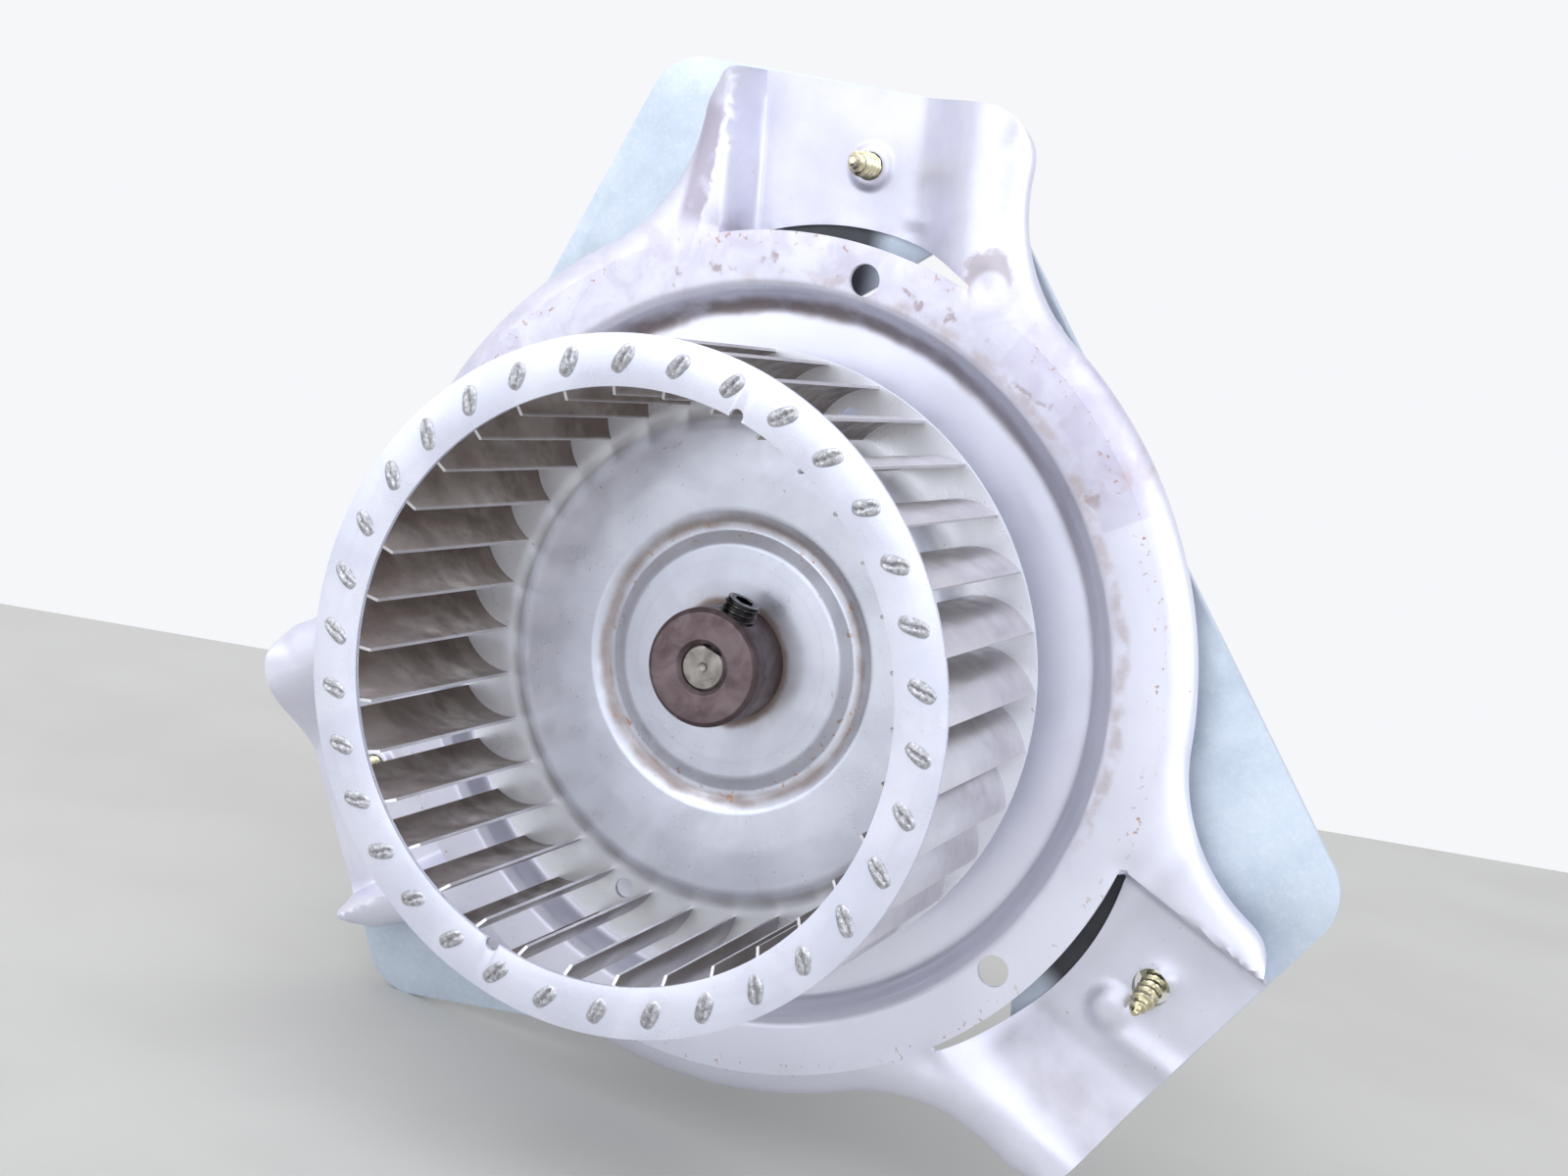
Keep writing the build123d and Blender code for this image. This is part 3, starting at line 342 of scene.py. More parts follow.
def add_node(tree, kind, inputs, **settings):
    """A new node with its settings; each input is a value or another node's socket."""
    made = tree.nodes.new("ShaderNode" + kind)
    for key, value in settings.items():
        setattr(made, key, value)
    for key, value in inputs.items():
        if isinstance(value, bpy.types.NodeSocket):
            tree.links.new(value, made.inputs[key])
        else:
            made.inputs[key].default_value = value
    return made


class Recipe:
    """One material's nodes.  Patterns read the row frame in millimetres."""

    def __init__(self, name, metallic):
        self.material = bpy.data.materials.new(name)
        self.material.use_nodes = True
        self.tree = self.material.node_tree
        self.tree.nodes.clear()
        self.shader = self.node("BsdfPrincipled", {"Metallic": metallic})
        self.node("OutputMaterial", {"Surface": self.shader.outputs["BSDF"]})
        self.place = self.scaled(self.node("TexCoord", {}).outputs["Object"], (1 / MM,) * 3)
        self.coat = None

    def node(self, kind, inputs, **settings):
        return add_node(self.tree, kind, inputs, **settings)

    def scaled(self, vector, scale):
        return self.node("Mapping", {"Vector": vector, "Scale": scale}).outputs["Vector"]

    def noise_on(self, vector, detail=4, rough=0.55, warp=0.0):
        inputs = {"Vector": vector, "Scale": 1.0, "Detail": detail, "Roughness": rough, "Distortion": warp}
        return self.node("TexNoise", inputs).outputs["Fac"]

    def noise(self, size, stretch=(1, 1, 1), **look):
        """Cloudy noise whose blotches are about size millimetres across."""
        return self.noise_on(self.scaled(self.place, tuple(s / size for s in stretch)), **look)

    def cells(self, size):
        """Distance to the middle of cells of about that size in millimetres."""
        place = self.scaled(self.place, (1 / size,) * 3)
        return self.node("TexVoronoi", {"Vector": place, "Scale": 1.0}).outputs["Distance"]

    def math(self, operation, a, b=0.0):
        return self.node("Math", {0: a, 1: b}, operation=operation).outputs[0]

    def add(self, a, b):
        return self.math("ADD", a, b)

    def most(self, a, b):
        return self.math("MAXIMUM", a, b)

    def times(self, *values):
        product = values[0]
        for value in values[1:]:
            product = self.math("MULTIPLY", product, value)
        return product

    def between(self, value, low, high, to_low=0.0, to_high=1.0):
        """Smooth rise from to_low to to_high as value goes from low to high."""
        inputs = {"Value": value, "From Min": low, "From Max": high, "To Min": to_low, "To Max": to_high}
        return self.node("MapRange", inputs, interpolation_type="SMOOTHSTEP").outputs["Result"]

    def cloud(self, size, low=0.3, high=0.7, to_low=0.0, to_high=1.0, **look):
        """Noise, spread from to_low to to_high."""
        return self.between(self.noise(size, **look), low, high, to_low, to_high)

    def spread(self, size, to_low, to_high, **look):
        """Noise, mostly between two values."""
        return self.cloud(size, 0.3, 0.7, to_low, to_high, **look)

    def near(self, value, centre, far, close):
        """0 where value is far from the centre, 1 where it is close."""
        return self.between(self.math("ABSOLUTE", self.math("SUBTRACT", value, centre)), far, close)

    def facing(self, direction, far, close, to_low=0.0, to_high=1.0):
        """1 within close degrees of a direction in the face-on view, 0 beyond far degrees."""
        return self.between(self.math("ABSOLUTE", self.angle(direction)), far, close, to_low, to_high)

    def blend(self, amount, a, b):
        """Colour a, turning into colour b as amount goes from 0 to 1."""
        inputs = {"Factor": amount, 6: opaque(a), 7: opaque(b)}
        return self.node("Mix", inputs, data_type="RGBA").outputs[2]

    def start(self, dark, light, size, low=0.3, high=0.7, **look):
        """The ground colour, in soft clouds."""
        self.coat = self.blend(self.cloud(size, low, high, **look), dark, light)

    def paint(self, colour, *amounts):
        """Lays a colour over the coat, as strongly as the product of the amounts."""
        self.coat = self.blend(self.times(*amounts), self.coat, colour)

    def axes(self):
        """x, y and z in millimetres."""
        node = self.node("SeparateXYZ", {"Vector": self.place})
        return node.outputs["X"], node.outputs["Y"], node.outputs["Z"]

    def radius(self, centre=(0.0, 0.0)):
        """Distance from an axis parallel to the shaft."""
        x, _, z = self.axes()
        dx = self.math("SUBTRACT", x, centre[0])
        dz = self.math("SUBTRACT", z, centre[1])
        return self.math("SQRT", self.add(self.times(dx, dx), self.times(dz, dz)))

    def angle(self, zero=0.0):
        """Degrees counter-clockwise in the face-on view from the direction zero, -180 to 180."""
        x, _, z = self.axes()
        c, s = math.cos(math.radians(zero)), math.sin(math.radians(zero))
        ahead = self.add(self.times(x, c), self.times(z, s))
        across = self.math("SUBTRACT", self.times(z, c), self.times(x, s))
        return self.times(self.math("ARCTAN2", across, ahead), 180 / math.pi)

    def around(self, angle_step, radius_step, height_step=1e3):
        """Coordinates that run round the shaft, for streaks and turning marks."""
        steps = ((self.angle(), angle_step), (self.radius(), radius_step), (self.axes()[1], height_step))
        inputs = {i: self.times(value, 1 / step) for i, (value, step) in enumerate(steps)}
        return self.node("CombineXYZ", inputs).outputs[0]

    def edges(self, low=0.52, high=0.6):
        """1 along convex edges, from the surface's own curvature."""
        return self.between(self.node("NewGeometry", {}).outputs["Pointiness"], low, high)

    def finish(self, rough, *reliefs):
        """The material, with its roughness and its reliefs: pairs of height and depth in millimetres."""
        self.tree.links.new(self.coat, self.shader.inputs["Base Color"])
        self.tree.links.new(rough, self.shader.inputs["Roughness"])
        below = {}
        for height, depth in reliefs:
            bump = self.node("Bump", {"Height": height, "Distance": depth * MM, **below})
            below = {"Normal": bump.outputs["Normal"]}
        if below:
            self.tree.links.new(below["Normal"], self.shader.inputs["Normal"])
        return self.material


def front_plate_material():
    """Satin pressed steel: lilac heat tint, faint gasket stains, rust specks and fine rubbing."""
    m = Recipe("front_plate_satin", 0.58)
    radius = m.radius()
    x, _, z = m.axes()
    m.start((0.61, 0.61, 0.715), (0.74, 0.74, 0.84), 34, 0.35, 0.68, detail=5, warp=0.6)
    m.paint((0.56, 0.54, 0.58), m.cloud(1.1, 0.35, 0.75, 0.0, 0.16, detail=6, rough=0.7))
    # painted light: paler colour in the dish and round the lower right, where light falls on them
    painted_light = m.most(m.between(radius, 61.0, 59.5), m.facing(-40, 95, 40, 0.0, 0.7))
    m.paint((0.84, 0.85, 0.95), painted_light, 0.75)
    # gasket print: a lilac wash from the right round the top to the left
    ragged = m.add(radius, m.spread(7, -2.0, 2.0, detail=6))
    band = m.times(m.between(ragged, 64.5, 68.5), m.between(ragged, 80, 74))
    span = m.add(m.angle(112), m.spread(9, -3, 3, detail=5))
    print_area = m.times(m.between(m.math("ABSOLUTE", span), 80, 74), band)
    patchy = m.times(print_area, m.cloud(8, 0.32, 0.68, detail=6, rough=0.6, warp=0.8))
    m.paint((0.47, 0.435, 0.55), patchy, 0.55)
    # a few brown dashes left by the gasket's inner edge
    dashes = m.between(m.noise_on(m.around(4.0, 9.0), detail=3), 0.55, 0.63)
    m.paint((0.27, 0.18, 0.15), m.near(ragged, 68.3, 0.9, 0.25), print_area, dashes, 0.6)
    # residue and painted shade in the corner of the dish, heaviest at the top left under the wheel
    wander = m.add(radius, m.spread(10, -0.5, 0.5, detail=2))
    corner = m.times(m.between(wander, 59.4, 61.0), m.between(wander, 63.6, 61.8))
    heavy = m.facing(112, 105, 10, 0.10, 1.0)
    residue_and_shade = m.times(corner, heavy, m.cloud(9, 0.25, 0.55, 0.35, 1.0, detail=5, rough=0.6))
    m.paint((0.19, 0.135, 0.11), residue_and_shade, 0.8)
    # brownish painted shade along the dish's shoulder, and a lilac patch that ends sharply at the right
    shoulder_shade = m.times(m.near(wander, 66.4, 1.8, 0.3), m.facing(45, 66, 50))
    m.paint((0.40, 0.29, 0.23), shoulder_shade, m.cloud(4, 0.40, 0.62, detail=6), 0.42)
    patch = m.times(m.facing(47, 14.4, 13.9), m.between(ragged, 67.5, 69.0), m.between(ragged, 77.5, 75.5))
    m.paint((0.49, 0.46, 0.58), patch, m.cloud(11, 0.3, 0.5, 0.4, 1.0), 0.42)
    # faint rust running out at the right, and freckles near the slits
    streak = m.times(m.facing(39, 5.0, 0.5), m.between(radius, 60, 68))
    m.paint((0.45, 0.28, 0.17), streak, m.cloud(3.0, 0.45, 0.7, detail=6), 0.30)
    freckles = m.times(m.cloud(1.3, 0.60, 0.66, detail=3), m.cloud(15, 0.42, 0.56))
    m.paint((0.40, 0.21, 0.12), freckles, m.near(radius, 73.0, 1.7, 0.7), 0.75)
    specks = m.times(m.cloud(1.6, 0.69, 0.74, detail=2), m.cloud(24, 0.5, 0.62))
    m.paint((0.36, 0.23, 0.17), specks, m.between(radius, 60, 66), 0.6)
    # plum-coloured patch on the left flank of the top lug, sharp at the bend
    tall = m.times(m.between(z, 69.0, 74.0), m.between(z, 97.0, 90.0))
    frayed = m.add(x, m.spread(3, -0.5, 0.5, detail=5))
    plum = m.times(m.between(frayed, -25.2, -25.9), m.between(x, -31.0, -29.0), tall)
    plum = m.times(plum, m.cloud(5, 0.25, 0.5, 0.5, 1.0, detail=5))
    m.paint((0.36, 0.31, 0.39), plum, 0.7)
    # plum-brown crescent beside the nub at the right end of the top lug's slit
    frayed = m.add(m.radius((27.6, 73.2)), m.spread(3, -0.8, 0.8, detail=5))
    m.paint((0.34, 0.27, 0.28), m.between(frayed, 4.6, 3.4), m.between(m.radius((28.4, 70.6)), 2.6, 3.8), 0.6)
    # smoky stain and painted shade on the lower right lug's panel, deepest on its gentle wall
    across = m.math("SUBTRACT", m.times(x, -0.5), m.times(z, 0.866))
    along = m.math("SUBTRACT", m.times(x, 0.866), m.times(z, 0.5))
    smoke_and_shade = m.times(m.between(along, 74, 78), m.between(across, 21.0, 16.5))
    smoke_and_shade = m.times(smoke_and_shade, m.between(across, 3, 12, 0.3, 0.85))
    m.paint((0.36, 0.35, 0.40), smoke_and_shade, m.spread(9, 0.7, 1.0))
    rough = m.spread(16, 0.27, 0.40, detail=6, warp=0.5)
    rough = m.add(rough, m.times(m.most(m.times(patchy, 0.5), residue_and_shade), 0.2))
    rough = m.add(rough, m.times(plum, 0.18))
    rough = m.add(rough, m.between(radius, 74.0, 78.0, 0.0, 0.08))
    return m.finish(rough, (m.noise(26, detail=3), 0.14), (m.noise(0.5), 0.007), (m.noise(5), 0.02))


def plain_metal(name, dark, light, roughness, size, metallic=1.0, relief=0.01, wear=None):
    """Mottled metal with fine grain, for the plain parts."""
    m = Recipe(name, metallic)
    m.start(dark, light, size, 0.32, 0.68, detail=5, warp=0.4)
    fine = m.noise(0.4, rough=0.6)
    m.paint(shade(dark, 0.72), m.between(fine, 0.5, 0.85, 0.0, 0.35))
    if wear:
        m.paint(wear, m.edges(), 0.7)
    rough = m.spread(size / 3, roughness - 0.06, roughness + 0.08, detail=5)
    return m.finish(rough, (fine, relief), (m.noise(size * 0.8, detail=2), relief * 5))


def wheel_ring_material():
    """Bright zinc of the wheel's front ring."""
    m = Recipe("wheel_ring_zinc", 0.6)
    m.start((0.64, 0.655, 0.765), (0.73, 0.745, 0.845), 18, 0.35, 0.65, detail=5, warp=0.5)
    m.paint((0.56, 0.56, 0.64), m.between(m.noise_on(m.around(14, 1.6), detail=5), 0.45, 0.8, 0.0, 0.3))
    m.paint((0.46, 0.43, 0.43), m.cloud(0.9, 0.71, 0.76, detail=2), 0.3)
    rough = m.spread(9, 0.24, 0.38, detail=5)
    return m.finish(rough, (m.noise(14, detail=2), 0.10), (m.noise(0.4, detail=3), 0.006))


def wheel_tab_material():
    """Clinched tabs: rough, darker zinc with bright creases."""
    m = Recipe("wheel_tab_zinc", 0.8)
    m.start((0.28, 0.28, 0.295), (0.66, 0.66, 0.69), 0.7, 0.4, 0.68, detail=6, rough=0.75)
    m.paint((0.80, 0.80, 0.84), m.edges(), 0.5)
    return m.finish(m.spread(0.5, 0.28, 0.52, detail=3), (m.noise(0.35), 0.08))


def wheel_plate_material():
    """Back plate of the wheel: satin lilac grey, rust line in the groove and round the hub."""
    m = Recipe("wheel_plate_satin", 0.62)
    radius = m.radius()
    m.start((0.64, 0.665, 0.76), (0.77, 0.795, 0.89), 17, 0.35, 0.65, detail=5, warp=0.6)
    spokes = m.noise_on(m.around(5.0, 16.0), detail=6, rough=0.6)
    m.paint((0.48, 0.42, 0.39), m.between(spokes, 0.58, 0.82, 0.0, 0.25))
    # painted light: the rim beyond the dome painted paler, where it stands brightly lit
    m.paint((0.82, 0.83, 0.86), m.between(radius, 41.0, 42.6), 0.65)
    ragged = m.add(radius, m.spread(6, -0.3, 0.3))
    # painted shade: a soft dark line along the dome's edge
    dome_edge = m.times(m.near(radius, 41.9, 0.9, 0.1), m.cloud(18, 0.35, 0.6, 0.15, 1.0, detail=3))
    m.paint((0.27, 0.25, 0.26), dome_edge, 0.35)
    m.paint((0.40, 0.39, 0.42), m.near(radius, 17.5, 0.5, 0.1), 0.08)
    groove = m.times(m.near(ragged, 24.2, 1.7, 0.2), m.cloud(7, 0.3, 0.6, 0.45, 1.0, detail=5))
    m.paint((0.29, 0.205, 0.15), groove, 0.68)
    m.paint((0.50, 0.24, 0.10), m.near(radius, 23.2, 2.4, 1.0), m.cloud(1.5, 0.62, 0.68, detail=3), 0.7)
    foot = m.between(ragged, 11.9, 10.5)
    m.paint((0.24, 0.145, 0.10), foot, 0.8)
    m.paint((0.42, 0.33, 0.28), m.between(ragged, 15, 11), m.cloud(5, 0.35, 0.65, detail=6), 0.22)
    m.paint((0.34, 0.29, 0.27), m.cloud(1.0, 0.71, 0.76, detail=2), 0.5)
    bend = m.times(m.between(radius, 38.5, 40.5), m.between(radius, 45.5, 43.5))
    worn = m.most(m.most(foot, groove), bend)
    rough = m.add(m.spread(8, 0.26, 0.40, detail=5), m.times(worn, 0.25))
    return m.finish(rough, (m.noise(12, detail=2), 0.09), (m.noise(0.45), 0.008))


def blade_material(name, dark, light, deep_grime_and_shade, deep_grime_and_shade_amount, mottle_and_reflection):
    """One face of the blades: a mottled heat tint, a painted violet reflection and shade on the right-hand
    blades, and painted shade with brown grime deepening towards the back plate.
    """
    m = Recipe(name, 0.8)
    radius = m.radius()
    x, y, z = m.axes()
    m.start(dark, light, 9, detail=6, warp=0.8, stretch=(1, 0.5, 1))
    right = m.times(m.between(m.add(x, m.times(z, 0.6)), 10, 45), m.cloud(7, 0.42, 0.6))
    toward_plate = m.between(m.add(y, m.spread(4, -5, 5, detail=5)), -34, -8)
    # painted reflection and shade: violet on the right-hand blades, towards the back plate
    m.paint((0.30, 0.25, 0.38), right, toward_plate, 0.6 * mottle_and_reflection)
    # painted shade, with brown grime, deepening towards the back plate
    m.paint(deep_grime_and_shade, toward_plate, deep_grime_and_shade_amount)
    m.paint(shade(dark, 0.5), m.cloud(3.2, 0.56, 0.74, detail=6, rough=0.65), 0.4 * mottle_and_reflection)
    m.paint((0.66, 0.64, 0.65), m.most(m.between(radius, 45.1, 44.5), m.between(radius, 53.3, 53.8)), 0.6)
    rough = m.spread(4, 0.3, 0.46, detail=5)
    return m.finish(rough, (m.noise(6, detail=2), 0.05), (m.noise(0.4), 0.008))


def hub_material():
    """Dark plum-brown turned steel with faint turning rings."""
    m = Recipe("hub_browned", 0.7)
    m.start((0.115, 0.080, 0.088), (0.215, 0.165, 0.175), 5, detail=6, warp=0.7)
    m.paint((0.36, 0.31, 0.32), m.edges(0.53), 0.5)
    m.paint((0.22, 0.125, 0.085), m.cloud(1.4, 0.64, 0.74, detail=5), 0.35)
    rings = m.noise_on(m.around(60, 0.16, 0.22), detail=2)
    return m.finish(m.spread(2.5, 0.36, 0.52, detail=5), (rings, 0.02), (m.noise(0.5), 0.012))


def shaft_material():
    """Ground shaft steel gone grey-brown."""
    m = Recipe("shaft_ground", 0.9)
    m.start((0.21, 0.195, 0.18), (0.38, 0.355, 0.33), 2.6, detail=6, warp=0.6)
    rings = m.noise_on(m.around(90, 0.12, 0.12), detail=2)
    return m.finish(m.spread(1.5, 0.3, 0.45), (rings, 0.012), (m.noise(0.4, detail=3), 0.008))


def zinc_sheet_material():
    """Galvanised motor plate: pale blue-grey with fine grain, and painted shadow, near black, where the front
    plate covers it.
    """
    m = Recipe("motor_plate_zinc", 0.6)
    m.start((0.50, 0.57, 0.66), (0.60, 0.67, 0.76), 14)
    grains = m.cells(1.5)
    m.paint((0.42, 0.49, 0.58), m.between(grains, 0.2, 0.7, 0.0, 0.10))
    fine = m.noise(0.7, detail=5, rough=0.7)
    m.paint((0.72, 0.77, 0.84), m.between(fine, 0.45, 0.75, 0.0, 0.4))
    # painted shadow on the plate's front where the front plate's lugs cover it
    shadow_under_lugs = 0.0
    for hole_angle in HOLE_ANGLES:
        turn = m.angle(hole_angle)
        shadow_under_lugs = m.add(shadow_under_lugs, m.times(m.between(turn, 0.5, 4.5), m.between(turn, 34, 26)))
    on_front = m.between(m.axes()[1], 11.2, 10.8)
    m.paint((0.030, 0.028, 0.030), shadow_under_lugs, m.between(m.radius(), 80.5, 78.0), on_front, 0.93)
    return m.finish(m.spread(5, 0.42, 0.56, detail=5), (grains, 0.012), (fine, 0.01))


def screw_material(name, dark, light):
    """Plated thread: bright crests, grime in patches."""
    m = Recipe(name, 1.0)
    m.start(dark, light, 1.8, detail=5, warp=0.5)
    m.paint(shade(light, 1.3), m.edges(0.52, 0.58), 0.6)
    m.paint(shade(dark, 0.35), m.cloud(0.9, 0.58, 0.72, detail=5), 0.4)
    return m.finish(m.spread(0.8, 0.16, 0.32), (m.noise(0.3, detail=3), 0.01))


def lamination_material():
    """Edges of the stator's laminations, half a millimetre apart."""
    m = Recipe("lamination_edges", 0.8)
    line = m.math("PINGPONG", m.axes()[1], 0.25)
    m.start((0.20, 0.19, 0.19), (0.33, 0.32, 0.32), 11, detail=5, warp=0.5)
    m.paint((0.06, 0.055, 0.055), m.between(line, 0.06, 0.0, 0.0, 0.6))
    m.paint((0.25, 0.14, 0.08), m.cloud(3.5, 0.58, 0.7, detail=6), 0.4)
    rough = m.spread(3, 0.4, 0.58)
    return m.finish(rough, (m.between(line, 0.0, 0.08), 0.06), (m.noise(0.5, detail=3), 0.01))


def soft_material(name, dark, light, size, roughness, relief):
    """Felt, plastic and other non-metals."""
    m = Recipe(name, 0.0)
    m.start(dark, light, size, detail=6, rough=0.6)
    rough = m.spread(size * 0.6, roughness - 0.05, roughness + 0.08)
    return m.finish(rough, (m.noise(size * 0.2), relief))


MATERIALS = {
    "front_plate_steel": front_plate_material(),
    "galvanised_plate": zinc_sheet_material(),
    "ring": wheel_ring_material(),
    "tabs": wheel_tab_material(),
    "back_plate": wheel_plate_material(),
    "blade_hollow": blade_material(
        "blade_hollow_side", (0.205, 0.16, 0.13), (0.39, 0.34, 0.295), (0.10, 0.068, 0.05), 0.8, 1.0),
    "blade_back": blade_material(
        "blade_back_side", (0.62, 0.61, 0.63), (0.74, 0.73, 0.76), (0.42, 0.38, 0.43), 0.3, 0.3),
    "hub_steel": hub_material(),
    "shaft_steel": shaft_material(),
    "yellow_zinc": screw_material("screw_yellow_zinc", (0.50, 0.45, 0.28), (0.74, 0.70, 0.50)),
    "bright_zinc": screw_material("screw_bright_zinc", (0.50, 0.50, 0.52), (0.72, 0.72, 0.74)),
    "black_oxide": plain_metal(
        "set_screw_black", (0.018, 0.017, 0.018), (0.05, 0.047, 0.05), 0.3, 2.0, wear=(0.50, 0.48, 0.47)),
    "cast_aluminium": plain_metal(
        "shield_cast", (0.50, 0.51, 0.52), (0.64, 0.65, 0.66), 0.5, 9.0, metallic=0.8, relief=0.03),
    "sheet_aluminium": plain_metal(
        "fan_sheet", (0.66, 0.67, 0.68), (0.79, 0.80, 0.81), 0.34, 12.0, relief=0.008),
    "lamination_steel": lamination_material(),
    "cage_aluminium": plain_metal(
        "cage_cast", (0.52, 0.53, 0.54), (0.66, 0.67, 0.68), 0.48, 5.0, relief=0.03),
    "sintered_bronze": plain_metal("bearing_bronze", (0.36, 0.22, 0.10), (0.52, 0.34, 0.17), 0.42, 3.0),
    "copper": plain_metal("loop_copper", (0.56, 0.26, 0.15), (0.74, 0.40, 0.26), 0.32, 4.0),
    "enamelled_copper": plain_metal("coil_enamel", (0.28, 0.085, 0.03), (0.47, 0.17, 0.06), 0.3, 3.0),
    "tinned_brass": plain_metal("terminal_tin", (0.62, 0.60, 0.55), (0.76, 0.74, 0.69), 0.3, 3.0),
    "felt": soft_material("oil_felt", (0.20, 0.16, 0.11), (0.36, 0.30, 0.22), 1.2, 0.9, 0.15),
    "seal_graphite": soft_material(
        "seal_graphite", (0.045, 0.045, 0.048), (0.09, 0.09, 0.095), 2.0, 0.6, 0.03),
    "white_nylon": soft_material("bobbin_nylon", (0.70, 0.69, 0.64), (0.82, 0.81, 0.77), 6.0, 0.42, 0.01),
    "black_phenolic": soft_material(
        "block_phenolic", (0.022, 0.02, 0.02), (0.05, 0.046, 0.044), 3.0, 0.4, 0.02),
}

# ---- front plate
PLATE_R = 78.3
LUG_HALF_WIDTH = 30.4
LUG_REACH = 100.2
LUG_CORNER_R = 9.0
LUG_BLEND_R = 31.0
OUTLINE_STEP = 1.15
TROUGH_LEAN = 0.145             # the trough's sideways run for each millimetre outwards
TROUGH_SQUARE_V = 77.0          # where the widths below hold
TROUGH_LEFT = (-23.5, 4.4)      # start and width of the steep wall
TROUGH_RIGHT = (8.5, 16.2)      # start and width of the gentle wall
WALL_STRIP = (-21.2, 3.0)       # middle and half width of the strip that the steep wall needs
WALL_STRIP_REACH = (72.0, 99.5)
WALL_STRIP_COLUMNS = 12
SLIT_SPAN = (-21.6, 25.2)
SLIT_END_GAP = 0.45
SLIT_STEPS = 44
ROLL_WIDTH = 6.8
ROLL_DEPTH = 3.55
ROLL_RINGS = 12
SLIT_R = 74.0
PANEL_EDGE_R = 47.4
PANEL_EDGE_U = 1.75
PANEL_EDGE_TOP = 76.6
DISH_DEPTH = 4.6
DISH_WALL = (60.0, 5.8)         # inner radius and width of the dish's wall
SHAFT_OPENING_R = 9.0
RING_STEPS = 480
MOUNTING_HOLE_R = 2.75
MOUNTING_CIRCLE_R = 68.3
SCREW_SITES = ((87.1, 5.7), (88.2, 11.0), (87.1, 5.7))
LEANING = 1                     # the lug whose screw leans
LEAN = 28.0
LEAN_HEADING = -104.0
LEAN_STANDOFF = 2.7
LEANING_HOLE_R = 3.3
SCREW_HOLE_R = 2.45
SCREW_HOLE_STEPS = 40
COLLAR_R = 5.6                  # finer mesh up to this radius round each screw hole
DIMPLE_SITE = (85.6, 5.9)
MARK_SITE = (80.6, -1.9)
MESH_REACH = 106
MESH_STEP = 1.25
ROW_STEP = MESH_STEP * 0.866
LOOP_CLEARANCE = 0.5
RIM_CLEARANCE = 0.6
FLANGE_HOLLOW = (0.28, 71.0, 7.0)   # depth, middle radius and half width
SLIT_DENT = (0.5, 1.2, 71.4)    # depth, distance past the slit's end and place along the lug
DIMPLE = (1.15, 2.7, 2.0)       # height, top radius and flank of the rise round a screw
BOSS = (1.5, 1.6, 3.6)
RIDGE = (0.95, 2.3)             # height and half width
COLLAR = (1.3, 2.6, 55)         # height, and place from the leaning screw
MARK = (0.35, 2.6, 1.15)        # depth and half sizes


def lug_axes(k):
    """Unit vectors across and along lug k, in the face-on view."""
    along = polar(1, LUG_ANGLES[k])
    return np.array([along[1], -along[0]]), along


def screw_point(k):
    """Where lug screw k crosses the panel."""
    radius, turn = SCREW_SITES[k]
    return polar(radius, HOLE_ANGLES[k] + turn)


def plate_outline():
    """The blank's outline: a disc with three lugs, counter-clockwise."""
    w, b, r, corner = LUG_HALF_WIDTH, LUG_BLEND_R, PLATE_R, LUG_CORNER_R
    # a blend arc is outside the disc and beside the lug, touching both
    centre_u = w + b
    centre_v = math.sqrt((r + b) ** 2 - centre_u ** 2)
    touch = math.degrees(math.atan2(centre_u, centre_v))
    loop = []
    for k in reversed(range(LUGS)):
        sweep = np.linspace(math.atan2(-centre_v, -centre_u), -math.pi, 24)
        lug = [(centre_u + b * math.cos(t), centre_v + b * math.sin(t)) for t in sweep]
        for t in np.linspace(0, math.pi / 2, 16):
            lug.append((w - corner + corner * math.cos(t), LUG_REACH - corner + corner * math.sin(t)))
        lug += [(-u, v) for u, v in reversed(lug)]
        across, along = lug_axes(k)
        loop += [across * u + along * v for u, v in lug]
        gap = np.linspace(LUG_ANGLES[k] + touch, LUG_ANGLES[k] + LUG_PITCH - touch, 60)
        loop += [polar(r, a) for a in gap[1:-1]]
    return resample(loop, OUTLINE_STEP)


def squared(u, v):
    """Sideways place measured from the leaning trough."""
    return u + TROUGH_LEAN * (v - TROUGH_SQUARE_V)


def trough(u, v):
    """How far the lug's panel is pressed back: steep on its left, gentle on its right."""
    square = squared(u, v)
    left = smooth((square - TROUGH_LEFT[0]) / TROUGH_LEFT[1])
    slope = np.clip((square - TROUGH_RIGHT[0]) / TROUGH_RIGHT[1], 0, 1)
    return PANEL_DEPTH * left * (1 - slope * slope * (3 - 2 * slope))


def bell(points, centre, size_across, size_along, axes=((1.0, 0.0), (0.0, 1.0))):
    """A soft bump, 1 at its centre."""
    across, along = (np.array(axis) for axis in axes)
    away = points - centre
    return np.exp(-((away @ across) / size_across) ** 2 - ((away @ along) / size_along) ** 2)


def mound(points, centre, height, top, flank):
    """A round rise with a level top of that radius."""
    return height * (1 - smooth((np.linalg.norm(points - centre, axis=1) - top) / flank))


